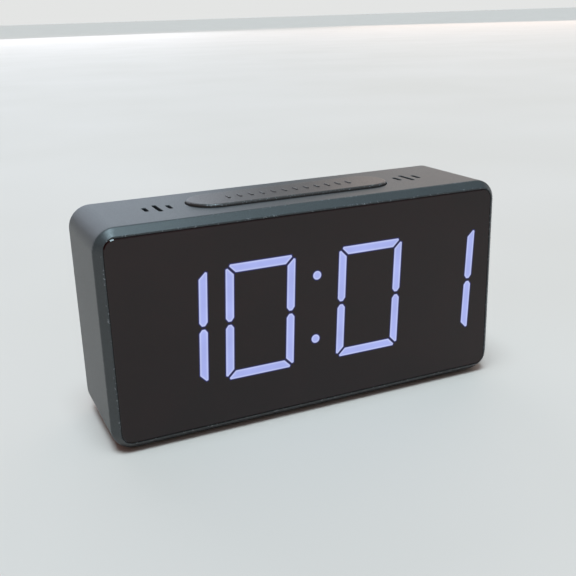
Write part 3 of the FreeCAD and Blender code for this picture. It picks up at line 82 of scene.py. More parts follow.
# The case: its corner, wall, chamfer, mirror seat, rear edge, cover step and front plate.
CORNER = 8.3 * MM
WALL = 2.2 * MM
CHAMFER_INSET = 2.6 * MM
CHAMFER_DEPTH = 2.8 * MM
CHAMFER_CORNER = 4.9 * MM
SEAT_INSET = 3.1 * MM
SEAT_CORNER = 4.05 * MM
REAR_ROUND = 0.8 * MM
COVER_STEP = 1.0 * MM
COVER_PLATE = 2.0 * MM
FRONT_PLATE = 1.8 * MM
WINDOW_GAP = 0.5 * MM

# The snooze bar: the lip and gap round it, its skin, travel, ribs, posts and return springs.
BAR_LIP = 1.2 * MM
BAR_GAP = 0.4 * MM
BAR_FLANGE = 1.2 * MM
BAR_SKIN = 1.6 * MM
BAR_SIDE = 1.5 * MM
BAR_ROUND = 0.9 * MM
RIB_COUNT = 12
RIB_SPAN = 50.0 * MM
RIB_LENGTH = 4.4 * MM
RIB_WIDTH = 1.0 * MM
RIB_HEIGHT = 0.3 * MM
RIB_ROOT = 0.3 * MM
POST_OUT = 30.0 * MM
POST_RADIUS = 1.9 * MM
COLLAR_RADIUS = 3.3 * MM
PAD_RADIUS = 2.3 * MM
SPRING_WIRE = 0.5 * MM
SPRING_TURNS = 5.0

# The mirror, and how much the tips of bars and arrows are eased.
MIRROR_CORNER = 3.9 * MM
MIRROR_BEVEL = 0.35 * MM
TIP_TRIM = 0.25 * MM

# The keys and the feet.
KEY_RADIUS = 4.0 * MM
KEY_FLANGE = 5.0 * MM
KEY_STEM = 2.3 * MM
KEY_STEP = 0.8 * MM
KEY_ROUND = 0.5 * MM
KEY_DISH = 0.3 * MM
FOOT = 9.0 * MM
FOOT_SEAT = 0.8 * MM

# The sound slots, and what follows from the sizes above.
SLOT_PITCH = 4.4 * MM
SLOT_WIDTH = 1.5 * MM
SLOT_LENGTHS = (6.0 * MM, 11.0 * MM, 6.0 * MM)
BAR_MIDDLE = (BAR_LOW[1] + BAR_HIGH[1]) / 2
BAR_LENGTH = BAR_HIGH[0] - BAR_LOW[0] - 2 * BAR_LIP
BAR_WIDTH = BAR_HIGH[1] - BAR_LOW[1] - 2 * BAR_LIP
SLOT_FROM_BAR = 11.2 * MM
SLOT_CENTRE = BAR_LENGTH / 2 + SLOT_FROM_BAR
FEET = [(x, y) for x in (FEET_LOW[0] + FOOT / 2, FEET_HIGH[0] - FOOT / 2)
        for y in (FEET_LOW[1] + FOOT / 2, FEET_HIGH[1] - FOOT / 2)]


# ------------------------------------------------------------------ outlines and surfaces

def rectangle(centre, width, height, radius, steps=12):
    """A function of an inset that gives a rounded rectangle's points, anticlockwise.

    Each corner is a quarter circle: centre + reach + r * (cos, sin), with r = radius - inset.
    """
    def loop(inset=0.0, corner=None):
        r = max((radius if corner is None else corner + inset) - inset, 0.01 * MM)
        reach = np.array([width / 2 - inset - r, height / 2 - inset - r])
        parts = []
        for quarter, sides in enumerate(((1, 1), (-1, 1), (-1, -1), (1, -1))):
            angle = np.linspace(0, math.pi / 2, steps + 1) + quarter * math.pi / 2
            ring = np.stack([np.cos(angle), np.sin(angle)], axis=1) * r
            parts.append(np.array(centre) + reach * sides + ring)
        return np.concatenate(parts)
    return loop


def stadium(centre, length, width, steps=20, along=0):
    """A function of an inset: two half circles of radius width / 2 - inset, joined straight."""
    def loop(inset=0.0):
        r = max(width / 2 - inset, 0.01 * MM)
        reach = (length - width) / 2
        parts = []
        for half, side in enumerate((1, -1)):
            angle = np.linspace(-math.pi / 2, math.pi / 2, steps + 1) + half * math.pi
            ring = np.stack([np.cos(angle) * r + side * reach, np.sin(angle) * r], axis=1)
            parts.append(ring)
        points = np.concatenate(parts)
        if along:
            points = np.stack([-points[:, 1], points[:, 0]], axis=1)
        return points + np.array(centre)
    return loop


def disc(centre, diameter, steps=40):
    """A function of an inset: a circle of radius diameter / 2 - inset."""
    def loop(inset=0.0):
        angle = np.arange(steps) * 2 * math.pi / steps
        r = max(diameter / 2 - inset, 0.01 * MM)
        return np.array(centre) + np.stack([np.cos(angle), np.sin(angle)], axis=1) * r
    return loop


def wall(low, high, low_round, high_round, steps=4):
    """Pairs of inset and level from low to high, with a quarter circle at each edge."""
    turn = np.linspace(0, math.pi / 2, steps + 1)
    rows = []
    if low_round:
        rows += list(zip(low_round * (1 - np.sin(turn)), low + low_round * (1 - np.cos(turn))))
    else:
        rows.append((0.0, low))
    if high_round:
        rows += list(zip(high_round * (1 - np.cos(turn)), high - high_round * (1 - np.sin(turn))))
    else:
        rows.append((0.0, high))
    return rows


def soften(points, radii, steps=5):
    """A polyline whose corners become the curves (1-t)^2 A + 2t(1-t) C + t^2 B."""
    points = np.array(points, float)
    rows = [points[0]]
    t = np.linspace(0, 1, steps + 1)[:, None]
    for index in range(1, len(points) - 1):
        corner = points[index]
        trim = radii[index]
        if not trim:
            rows.append(corner)
            continue
        back = points[index - 1] - corner
        ahead = points[index + 1] - corner
        start = corner + back * trim / np.linalg.norm(back[:2])
        end = corner + ahead * trim / np.linalg.norm(ahead[:2])
        rows.extend((1 - t) ** 2 * start + 2 * t * (1 - t) * corner + t ** 2 * end)
    rows.append(points[-1])
    return np.array(rows)


def lift(outline, level, axis):
    """Flat points put into space at a level along one axis."""
    flat = np.asarray(outline)
    points = np.empty((len(flat), 3))
    others = [index for index in range(3) if index != axis]
    points[:, others] = flat
    points[:, axis] = level
    return points


class Skin:
    """Patches of a closed surface. Patches that share an edge are welded when it is made."""

    def __init__(self):
        self.points = []
        self.faces = []
        self.edges = []
        self.count = 0

    def hold(self, points, edge):
        """Keep points and how near each is to an edge; returns the number of the first."""
        first = self.count
        self.points.append(points)
        self.edges.append(np.full(len(points), edge) if np.isscalar(edge) else edge)
        self.count += len(points)
        return first

    def patch(self, rows, edge=0.0, skip=()):
        """A grid whose columns close on themselves; skip names cells, by row and column."""
        rows = np.asarray(rows)
        high, wide = rows.shape[:2]
        spread = edge if np.isscalar(edge) else np.repeat(edge, wide)
        first = self.hold(rows.reshape(-1, 3), spread)
        row, column = np.meshgrid(np.arange(high - 1), np.arange(wide), indexing="ij")
        after = (column + 1) % wide
        cells = np.stack([row * wide + column, row * wide + after, (row + 1) * wide + after,
                          (row + 1) * wide + column], axis=-1)
        keep = np.ones((high - 1, wide), bool)
        for cell in skip:
            keep[cell] = False
        self.faces += (cells[keep] + first).tolist()
        return rows

    def fill(self, loops, axis):
        """A flat face inside the first loop and outside the others."""
        others = [index for index in range(3) if index != axis]
        flat = [[Vector(point[others]) for point in loop] for loop in loops]
        first = self.hold(np.concatenate(loops), 0.0)
        self.faces += [[first + corner for corner in face] for face in tessellate_polygon(flat)]

    def tube(self, loop, profile, axis, edge=0.0, sign=1):
        """An outline carried along a profile of insets and levels; returns its rings."""
        rings = [lift(loop(sign * inset), level, axis) for inset, level in profile]
        self.patch(rings, edge)
        return rings

    def plate(self, outline, holes, profile, axis):
        """A plate with holes: outline and holes share a profile, with a flat face at both ends."""
        outer = self.tube(outline, profile, axis)
        inner = [self.tube(hole, profile, axis, sign=-1) for hole in holes]
        for end in (0, -1):
            self.fill([outer[end]] + [rings[end] for rings in inner], axis)

    def turned(self, centre, profile, axis, steps=48):
        """A body of revolution: a circle carried along pairs of radius and level."""
        angle = np.arange(steps) * 2 * math.pi / steps
        ring = np.stack([np.cos(angle), np.sin(angle)], axis=1)
        rings = [lift(np.array(centre) + ring * max(radius, 1e-6), level, axis)
                 for radius, level in profile]
        self.patch(rings)
        for end in (0, -1):
            self.fill([rings[end]], axis)

    def make(self, name, material, slot, body, *stands_for):
        """Weld the patches, turn their faces outwards and place the piece."""
        mesh = bpy.data.meshes.new(name)
        mesh.from_pydata(np.concatenate(self.points).tolist(), [], self.faces)
        layer = mesh.attributes.new("edge", "FLOAT", "POINT")
        layer.data.foreach_set("value", np.concatenate(self.edges).astype(np.float32))
        weld = bmesh.new()
        weld.from_mesh(mesh)
        bmesh.ops.remove_doubles(weld, verts=weld.verts, dist=WELD)
        bmesh.ops.dissolve_degenerate(weld, edges=weld.edges, dist=0.001 * MM)
        bmesh.ops.recalc_face_normals(weld, faces=weld.faces)
        weld.to_mesh(mesh)
        weld.free()
        return place(name, mesh, material, slot, body, *stands_for)


def place(name, mesh, material, slot, body, *stands_for):
    """Put a mesh into the scene with smooth faces, its material and its body."""
    for face in mesh.polygons:
        face.use_smooth = True
    mesh.set_sharp_from_angle(angle=CREASE)
    piece = bpy.data.objects.new(name, mesh)
    bpy.context.scene.collection.objects.link(piece)
    mesh.materials.append(material)
    even = piece.modifiers.new("even_normals", "WEIGHTED_NORMAL")
    even.keep_sharp = True
    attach(piece, body)
    if stands_for:
        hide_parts(*stands_for)
    return piece


def eased(node, name, material, slot, body, width, steps=2):
    """A copy of a CAD node with its sharp edges rounded over."""
    mesh = NODES[node].data.copy()
    mesh.name = name
    mesh.materials.clear()
    weld = bmesh.new()
    weld.from_mesh(mesh)
    bmesh.ops.remove_doubles(weld, verts=weld.verts, dist=WELD)
    bmesh.ops.dissolve_limit(weld, angle_limit=FLAT, verts=weld.verts,
                             edges=weld.edges, delimit=set())
    weld.to_mesh(mesh)
    weld.free()
    piece = place(name, mesh, material, slot, body, node)
    bevel = piece.modifiers.new("eased_edges", "BEVEL")
    bevel.width = width
    bevel.segments = steps
    bevel.limit_method = "ANGLE"
    bevel.angle_limit = math.radians(40)
    bevel.use_clamp_overlap = True
    piece.modifiers.move(len(piece.modifiers) - 1, 0)
    return piece


# ------------------------------------------------------------------ materials

def colour(text):
    """An sRGB hex value as linear red, green, blue and alpha."""
    parts = [int(text[index:index + 2], 16) / 255 for index in (1, 3, 5)]
    return [part / 12.92 if part <= 0.04045 else ((part + 0.055) / 1.055) ** 2.4
            for part in parts] + [1.0]


def add(tree, kind, settings=None, **links):
    """Add a node; settings are its properties or input values, links its linked inputs."""
    node = tree.nodes.new("ShaderNode" + kind)
    for name, setting in (settings or {}).items():
        if name == "stops":
            marks = node.color_ramp.elements
            marks[0].position, marks[1].position = 0.0, 1.0
            for position, text in setting[1:-1]:
                marks.new(position)
            for mark, (position, text) in zip(marks, setting):
                mark.position = position
                mark.color = colour(text)
        elif isinstance(name, str) and hasattr(node, name):
            setattr(node, name, setting)
        else:
            node.inputs[name].default_value = setting
    for name, socket in links.items():
        key = int(name[1:]) if name[1:].isdigit() else name.replace("_", " ")
        tree.links.new(node.inputs[key], socket)
    return node


def new_material(name):
    """A material, its tree, its principled shader and object coordinates."""
    material = bpy.data.materials.new(name)
    material.use_nodes = True
    tree = material.node_tree
    shader = tree.nodes["Principled BSDF"]
    coordinates = add(tree, "TexCoord").outputs["Object"]
    return material, tree, shader, coordinates


def per_mm(size):
    """The scale of a noise whose features are about this many millimetres across."""
    return 1.0 / (size * MM)


def moulded_abs(name, dark, light, rough, grain, depth, wear_and_glint=False):
    """Injection-moulded ABS from a spark-eroded tool: a fine even grain that scatters the gloss.

    The tool's real grain is about 0.1 mm; it is drawn coarser, so that it shows at all.
    """
    material, tree, shader, coordinates = new_material(name)
    fine = add(tree, "TexNoise", {"Scale": per_mm(grain), "Detail": 2.0, "Roughness": 0.6},
               Vector=coordinates)
    broad = add(tree, "TexNoise", {"Scale": per_mm(18.0), "Detail": 3.0}, Vector=coordinates)
    blend = add(tree, "Math", {"operation": "MULTIPLY_ADD", 1: 0.35}, _0=broad.outputs["Fac"],
                _2=fine.outputs["Fac"])
    tone = add(tree, "ValToRGB", {"stops": [(0.45, dark), (0.85, light)]},
               Fac=blend.outputs[0]).outputs[0]
    gloss = add(tree, "MapRange", {"From Min": 0.3, "From Max": 0.7, "To Min": rough - 0.05,
                                   "To Max": rough + 0.07}, Value=fine.outputs["Fac"])
    bump = add(tree, "Bump", {"Strength": 0.55, "Distance": depth * MM},
               Height=fine.outputs["Fac"])
    if wear_and_glint:
        # Handling polishes the tool's grain off the edges and leaves pale nicks in them; on the
        # bar's rib crests the same pale marks are painted glints.
        edge = add(tree, "Attribute", {"attribute_name": "edge"})
        nick_and_glint = add(tree, "TexNoise", {"Scale": per_mm(0.7), "Detail": 3.0}, Vector=coordinates)
        sharp = add(tree, "MapRange", {"From Min": 0.6, "From Max": 0.68},
                    Value=nick_and_glint.outputs["Fac"])
        amount = add(tree, "Math", {"operation": "MULTIPLY"}, _0=edge.outputs["Fac"],
                     _1=sharp.outputs[0])
        mix = add(tree, "Mix", {"data_type": "RGBA"}, _0=amount.outputs[0], _6=tone)
        mix.inputs[7].default_value = colour("#8C9296")
        tone = mix.outputs[2]
    tree.links.new(shader.inputs["Base Color"], tone)
    tree.links.new(shader.inputs["Roughness"], gloss.outputs[0])
    tree.links.new(shader.inputs["Normal"], bump.outputs["Normal"])
    shader.inputs["IOR"].default_value = 1.53
    return material


def polished_acrylic():
    """Cast acrylic, polished, over a black print: nearly black, with a sharp reflection."""
    material, tree, shader, coordinates = new_material("black_backed_acrylic")
    smear = add(tree, "TexNoise", {"Scale": per_mm(30.0), "Detail": 5.0, "Distortion": 1.2},
                Vector=coordinates)
    tone = add(tree, "ValToRGB", {"stops": [(0.3, "#180809"), (0.7, "#1F0B0C")]},
               Fac=smear.outputs["Fac"])
    wiped = add(tree, "MapRange", {"From Min": 0.35, "From Max": 0.7, "To Min": 0.02,
                                   "To Max": 0.07}, Value=smear.outputs["Fac"])
    tree.links.new(shader.inputs["Base Color"], tone.outputs[0])
    tree.links.new(shader.inputs["Roughness"], wiped.outputs[0])
    shader.inputs["IOR"].default_value = 1.45
    return material


def glowing_resin():
    """Lit lavender bars: a little paler towards the edge, navy at it, with the mirror's gloss."""
    material, tree, shader, coordinates = new_material("lit_milky_resin")
    edge = add(tree, "Attribute", {"attribute_name": "edge"})
    tone = add(tree, "ValToRGB", {"stops": [(0.0, "#A5AFEC"), (0.4, "#AFB9F0"), (0.78, "#C4CCF7"),
                                            (1.0, "#1D2160")]}, Fac=edge.outputs["Fac"])
    cloud = add(tree, "TexNoise", {"Scale": per_mm(9.0), "Detail": 2.0}, Vector=coordinates)
    uneven = add(tree, "MapRange", {"To Min": 0.86, "To Max": 1.1}, Value=cloud.outputs["Fac"])
    shade = add(tree, "VectorMath", {"operation": "SCALE"}, _0=tone.outputs[0],
                Scale=uneven.outputs[0])
    tree.links.new(shader.inputs["Emission Color"], shade.outputs[0])
    shader.inputs["Base Color"].default_value = colour("#0A0A10")
    shader.inputs["Roughness"].default_value = 0.05
    shader.inputs["IOR"].default_value = 1.45
    shader.inputs["Emission Strength"].default_value = 1.0
    return material


def plain(name, dark, light, rough, metal=0.0, size=4.0, depth=0.0, stretch=None):
    """A material of two close tones, its roughness uneven by up to 15 parts in a hundred."""
    material, tree, shader, coordinates = new_material(name)
    if stretch:
        coordinates = add(tree, "Mapping", {"Scale": stretch}, Vector=coordinates).outputs[0]
    cloud = add(tree, "TexNoise", {"Scale": per_mm(size), "Detail": 4.0}, Vector=coordinates)
    tone = add(tree, "ValToRGB", {"stops": [(0.3, dark), (0.7, light)]}, Fac=cloud.outputs["Fac"])
    tree.links.new(shader.inputs["Base Color"], tone.outputs[0])
    gloss = add(tree, "MapRange", {"From Min": 0.3, "From Max": 0.7, "To Min": rough * 0.85,
                                   "To Max": rough * 1.15}, Value=cloud.outputs["Fac"])
    tree.links.new(shader.inputs["Roughness"], gloss.outputs[0])
    shader.inputs["Metallic"].default_value = metal
    if depth:
        bump = add(tree, "Bump", {"Strength": 0.5, "Distance": depth * MM},
                   Height=cloud.outputs["Fac"])
        tree.links.new(shader.inputs["Normal"], bump.outputs["Normal"])
    return material


# Moulded ABS, charcoal: even and softly matt, its edges rubbed and nicked by handling.
CASE_ABS = moulded_abs("charcoal_abs_spark_grain", "#303436", "#3C4143", 0.42, 0.45, 0.05,
                       wear_and_glint=True)
# The same plastic for the bar, a little browner and glossier, as fingers polish it. The pale marks
# on its rib crests are painted glints.
BAR_ABS = moulded_abs("charcoal_abs_bar", "#322E2D", "#3E3937", 0.38, 0.4, 0.04, wear_and_glint=True)
# Moulded ABS, black: darker and smoother than the case, so that the keys stand out.
KEY_ABS = moulded_abs("black_abs_keys", "#1B1C1E", "#2A2C2E", 0.36, 0.4, 0.02)
ACRYLIC = polished_acrylic()
RESIN_LIT = glowing_resin()
# Cast resin over unlit chips: nearly black, with a dull gloss.
RESIN_DARK = plain("unlit_smoked_resin", "#0B0B0F", "#101016", 0.35)
# Screen-printed film: a flat dead black that lets no light past the bars.
FILM = plain("black_printed_film", "#030304", "#060608", 0.6)
# Closed-cell foam tape: black, quite matt, with a pitted cut edge.
TAPE = plain("black_foam_tape", "#060606", "#0C0C0C", 0.9, size=0.6, depth=0.05)
# Moulded ABS light block: black with a low gloss.
REFLECTOR = plain("black_reflector_abs", "#0A0A0B", "#131315", 0.55)
# Solder mask on glass laminate: green, glossy, a little uneven over the tracks.
LAMINATE = plain("green_solder_mask", "#0C3A20", "#14502C", 0.3, size=1.5, depth=0.01)
# Phosphor in clear resin: a pale yellow dot.
CHIP_RESIN = plain("phosphor_over_chip", "#D8C878", "#EADF9A", 0.3)
# Zinc-plated steel: bright grey with slightly clouded plating.
ZINC = plain("zinc_plated_steel", "#9C9DA0", "#B4B5B8", 0.3, metal=1.0, size=1.0, depth=0.01)
# Drawn spring steel: mid grey and sharp in its highlights.
WIRE = plain("drawn_spring_steel", "#8E8F92", "#A9AAAD", 0.25, metal=1.0, size=0.5)
# Nickel plate: warm and bright, with a soft ripple from the stamped strip.
NICKEL = plain("nickel_plate", "#B5AFA4", "#CBC5BA", 0.22, metal=1.0, size=1.5, depth=0.01)
# Drawn aluminium: pale, with an even satin gloss.
ALUMINIUM = plain("drawn_aluminium_can", "#B9BABD", "#CFD0D2", 0.3, metal=1.0, size=0.5)
# Glass-filled polyester: black and half matt, with a faint speckle.
BLACK_PBT = plain("black_moulded_pbt", "#131314", "#1F1F21", 0.5, size=0.5, depth=0.02)
# Natural acetal: milky off-white with a waxy gloss.
NATURAL_POM = plain("natural_pom", "#C9C5B8", "#D8D4C8", 0.35, size=2.0)
# Shrunk PVC sleeve: deep blue and glossy round the cell.
SLEEVE = plain("printed_cell_sleeve", "#1F2C4D", "#26365C", 0.25, size=9.0)
# Ribbon cable: light grey, its tone drawn out along the wires.
FLAT_CABLE = plain("grey_flat_cable", "#8F9092", "#A2A3A5", 0.45, size=0.8,
                   stretch=(1, 0.02, 0.02))
# Vinyl wire sleeve: deep red with a soft gloss.
LEAD_VINYL = plain("red_vinyl_sleeve", "#7C1410", "#98201A", 0.4, size=1.5)
# Moulded rubber: black, dry and faintly rough.
RUBBER = plain("black_foot_rubber", "#111111", "#1C1C1C", 0.85, size=0.3, depth=0.03)


# ------------------------------------------------------------------ the case

FRONT = MIRROR_LOW[1]
MIRROR_BACK = MIRROR_HIGH[1]
SEAT = TAPE_HIGH[1]
PLATE_BACK = SEAT + FRONT_PLATE
RIM = CASE_LOW[1]
REAR = CASE_HIGH[1]
COVER_FACE = COVER_HIGH[1]
COVER_INNER = COVER_FACE - COVER_PLATE
TOP = CASE_HIGH[2]
BOTTOM = CASE_LOW[2]
CEILING = TOP - WALL
STEPS = 12
CASE_LOOP = rectangle((0, MIDDLE_Z), CASE_WIDTH, CASE_HEIGHT, CORNER, STEPS)
TOP_COLUMN = STEPS
BOTTOM_COLUMN = 3 * STEPS + 2


def bar_opening():
    """The opening round the bar: a stadium larger than it by a gap on every side."""
    return stadium((0, BAR_MIDDLE), BAR_LENGTH + 2 * BAR_GAP, BAR_WIDTH + 2 * BAR_GAP)


def along_chamfer(share):
    """Inset, level and corner at a share of the way from the rim to the side."""
    return (CHAMFER_INSET * (1 - share), RIM + CHAMFER_DEPTH * share,
            CHAMFER_CORNER * (1 - share) + CORNER * share)


def sound_slots():
    """The outlines of the slots: three on each side of the bar, the middle one longer."""
    return [stadium((side * SLOT_CENTRE + step * SLOT_PITCH, BAR_MIDDLE), length, SLOT_WIDTH,
                    steps=8, along=1)
            for side in (-1, 1) for step, length in zip((-1, 0, 1), SLOT_LENGTHS)]


def make_case():
    """The case: its wall's section, as inset and depth, carried round a rounded rectangle.

    The section runs from the window over the mirror's seat, the rim, the chamfer, the side, the
    rounded rear edge and the cover's step, and back inside. Its corners become the curves
    (1-t)^2 A + 2t(1-t) C + t^2 B. The top is left open there and filled round its openings.
    """
    skin = Skin()
    window_low, window_high = span("segment_film")
    window = rectangle((0, MIDDLE_Z), window_high[0] - window_low[0] + 2 * WINDOW_GAP,
                       window_high[2] - window_low[2] + 2 * WINDOW_GAP, WINDOW_GAP, STEPS)
    lip = WALL - COVER_STEP
    section = soften([
        (SEAT_INSET, SEAT, SEAT_CORNER),
        (SEAT_INSET, RIM, SEAT_CORNER),
        along_chamfer(0.0),
        along_chamfer(0.16),
        along_chamfer(0.76),
        along_chamfer(1.0),
        (0.0, RIM + CHAMFER_DEPTH + 1.5 * MM, CORNER),
        (0.0, REAR - 1.5 * MM, CORNER),
        (0.0, REAR, CORNER),
        (lip, REAR, CORNER - lip),
        (lip, COVER_INNER, CORNER - lip),
        (WALL, COVER_INNER, CORNER - WALL),
        (WALL, PLATE_BACK, CORNER - WALL),
    ], [0, 0.12 * MM, 0.22 * MM, 0, 0, 0.55 * MM, 0, 0, REAR_ROUND, 0.15 * MM, 0, 0, 0])
    # Handling wears the rim most, and the edges of the chamfer and of the back a little.
    edge = np.zeros(len(section))
    for inset, level, share in ((CHAMFER_INSET, RIM, 1.0), (SEAT_INSET, RIM, 0.9),
                                (0.0, RIM + CHAMFER_DEPTH, 0.7), (0.0, REAR, 0.7)):
        reach = np.hypot(section[:, 0] - inset, section[:, 1] - level)
        edge = np.maximum(edge, share * np.clip(1.15 - reach / (0.4 * MM), 0, 1))
    rows = [lift(CASE_LOOP(inset, corner), level, 1) for inset, level, corner in section]
    outer = int(np.argmax((section[:, 0] == 0) & (section[:, 1] > RIM + CHAMFER_DEPTH + MM)))
    inner = len(section) - 2
    skin.patch(rows, edge, [(outer, TOP_COLUMN), (outer, BOTTOM_COLUMN), (inner, TOP_COLUMN)])
    seat = lift(window(), SEAT, 1)
    back = lift(window(), PLATE_BACK, 1)
    skin.patch([rows[-1], back, seat, rows[0]])

    holes = [skin.tube(loop, wall(CEILING, TOP, 0.1 * MM, 0.25 * MM), 2, sign=-1)
             for loop in [bar_opening()] + sound_slots()]
    for row, end in ((outer, -1), (inner, 0)):
        frame_of = np.stack([rows[row][TOP_COLUMN], rows[row][TOP_COLUMN + 1],
                             rows[row + 1][TOP_COLUMN + 1], rows[row + 1][TOP_COLUMN]])
        skin.fill([frame_of] + [rings[end] for rings in holes], 2)
    seat_wall = wall(BOTTOM, BOTTOM + FOOT_SEAT, 0.1 * MM, 0)
    seats = [skin.tube(disc(spot, FOOT + 0.2 * MM, 48), seat_wall, 2, sign=-1) for spot in FEET]
    for rings in seats:
        skin.fill([rings[-1]], 2)
    frame_of = np.stack([rows[outer][BOTTOM_COLUMN], rows[outer][BOTTOM_COLUMN + 1],
                         rows[outer + 1][BOTTOM_COLUMN + 1], rows[outer + 1][BOTTOM_COLUMN]])
    skin.fill([frame_of] + [rings[0] for rings in seats], 2)
    skin.make("case_moulding", CASE_ABS, "case_plastic", "clock", "case_shell")


def make_feet():
    """Four rubber feet, each a disc with a rounded lower edge, turned about its own axis."""
    skin = Skin()
    radius = FOOT / 2
    stand = BOTTOM - FEET_LOW[2]
    turn = np.linspace(0, math.pi / 2, 7)
    lower = np.stack([radius - stand / 2 + stand / 2 * np.sin(turn),
                      FEET_LOW[2] + stand / 2 * (1 - np.cos(turn))], axis=1)
    profile = [(radius * 0.45, FEET_LOW[2] + 0.12 * MM), (radius * 0.6, FEET_LOW[2])]
    profile += list(lower) + [(radius, FEET_HIGH[2])]
    for spot in FEET:
        skin.turned(spot, profile, 2)
    return skin.make("rubber_feet", RUBBER, "foot_rubber", "clock", "feet")


# ------------------------------------------------------------------ the mirror and the display

def front_outlines(node):
    """The front face of each solid of a node, as its corners in x and z."""
    cad = bmesh.new()
    cad.from_mesh(NODES[node].data)
    bmesh.ops.remove_doubles(cad, verts=cad.verts, dist=WELD)
    bmesh.ops.dissolve_limit(cad, angle_limit=FLAT, verts=cad.verts,
                             edges=cad.edges, delimit=set())
    front = min(vert.co.y for vert in cad.verts)
    found = [np.array([(loop.vert.co.x, loop.vert.co.z) for loop in face.loops])
             for face in cad.faces
             if face.normal.y < -0.99 and abs(face.calc_center_median().y - front) < 0.01 * MM]
    cad.free()
    return found


def softened_outline(corners, trim, steps=4):
    """A function of an inset: each side of a polygon moves in by it, and its corners are eased.

    A corner C moves by inset * (n1 + n2) / (1 + n1.n2), n1 and n2 being its sides' inward
    normals, and then becomes the curve (1-t)^2 A + 2t(1-t) C + t^2 B.
    """
    area = np.sum(corners[:, 0] * np.roll(corners[:, 1], -1)
                  - corners[:, 1] * np.roll(corners[:, 0], -1))
    if area < 0:
        corners = corners[::-1]
    side = np.roll(corners, -1, axis=0) - corners
    side /= np.linalg.norm(side, axis=1)[:, None]
    normal = np.stack([-side[:, 1], side[:, 0]], axis=1)
    before = np.roll(normal, 1, axis=0)
    mitre = (normal + before) / (1 + np.sum(normal * before, axis=1))[:, None]

    def loop(inset=0.0):
        moved = corners + inset * mitre
        ahead = np.roll(moved, -1, axis=0) - moved
        length = np.linalg.norm(ahead, axis=1)[:, None]
        reach = np.minimum(trim, 0.45 * length)
        start = moved - np.roll(reach * ahead / length, 1, axis=0)
        end = moved + reach * ahead / length
        t = np.linspace(0, 1, steps + 1)[None, :, None]
        curve = ((1 - t) ** 2 * start[:, None] + 2 * t * (1 - t) * moved[:, None]
                 + t ** 2 * end[:, None])
        return curve.reshape(-1, 2)
    return loop


LIT = [softened_outline(corners, TIP_TRIM) for corners in front_outlines("lit_segments")]
UNLIT = [softened_outline(corners, TIP_TRIM) for corners in front_outlines("unlit_segments")]

# The light is drawn on the mirror's face, ahead of the bars. Seen from the camera that would put
# it a little aside of them, so a scale and a shift in x and z bring it back into line. Its
# opening is wider than the bar by the fringe.
GLOW_FRINGE = 0.2 * MM
GLOW_SCALE = 0.9914
GLOW_SHIFT = np.array([-0.80, 0.90]) * MM


def shown(outline):
    """A bar's outline as its light shows on the mirror's face: scaled and shifted from the bar."""
    return lambda inset=0.0: outline(inset) * GLOW_SCALE + GLOW_SHIFT


GLOW = [shown(outline) for outline in LIT]


def make_mirror():
    """The mirror: a rounded rectangle with a polished bevel, open where a bar shines through."""
    skin = Skin()
    width = MIRROR_HIGH[0] - MIRROR_LOW[0]
    height = MIRROR_HIGH[2] - MIRROR_LOW[2]
    loop = rectangle((0, MIDDLE_Z), width, height, MIRROR_CORNER, STEPS)
    profile = [(0.1 * MM, MIRROR_BACK), (0, MIRROR_BACK - 0.1 * MM), (0, FRONT + MIRROR_BEVEL),
               (MIRROR_BEVEL, FRONT)]
    rings = skin.tube(loop, profile, 1)
    through = [(GLOW_FRINGE, MIRROR_BACK), (GLOW_FRINGE, FRONT)]
    wells = [skin.tube(outline, through, 1, sign=-1) for outline in GLOW]
    for end in (0, -1):
        skin.fill([rings[end]] + [rows[end] for rows in wells], 1)
    skin.make("mirror_sheet", ACRYLIC, "mirror_acrylic", "clock", "mirror_panel")


def make_display():
    """The printed film, open over every segment, and the lit bars that stand through it."""
    skin = Skin()
    width = FILM_HIGH[0] - FILM_LOW[0]
    height = FILM_HIGH[2] - FILM_LOW[2]
    profile = [(0.0, FILM_LOW[1]), (0.0, FILM_HIGH[1])]
    skin.plate(rectangle((0, MIDDLE_Z), width, height, 0.5 * MM, 4), LIT + UNLIT, profile, 1)
    skin.make("display_film", FILM, "film_smoked", "clock", "segment_film")

    # Each bar's light fills its opening in the mirror, flush with the mirror's face. The shades
    # say how near an edge each step of the face counts, which sets the tone of the light.
    skin = Skin()
    back = span("lit_segments")[1][1]
    face = [(-GLOW_FRINGE, MIRROR_BACK), (-GLOW_FRINGE, FRONT), (0.05 * MM, FRONT),
            (0.3 * MM, FRONT), (0.6 * MM, FRONT), (1.1 * MM, FRONT)]
    shades = np.array([1.0, 1.0, 1.0, 0.78, 0.45, 0.0])
    for bar, glow in zip(LIT, GLOW):
        for rings in (skin.tube(bar, [(0.0, back), (0.0, MIRROR_BACK)], 1),
                      skin.tube(glow, face, 1, shades)):
            skin.fill([rings[0]], 1)
            skin.fill([rings[-1]], 1)
    skin.make("lit_bars", RESIN_LIT, "resin_lit", "clock", "lit_segments")


# ------------------------------------------------------------------ the snooze bar

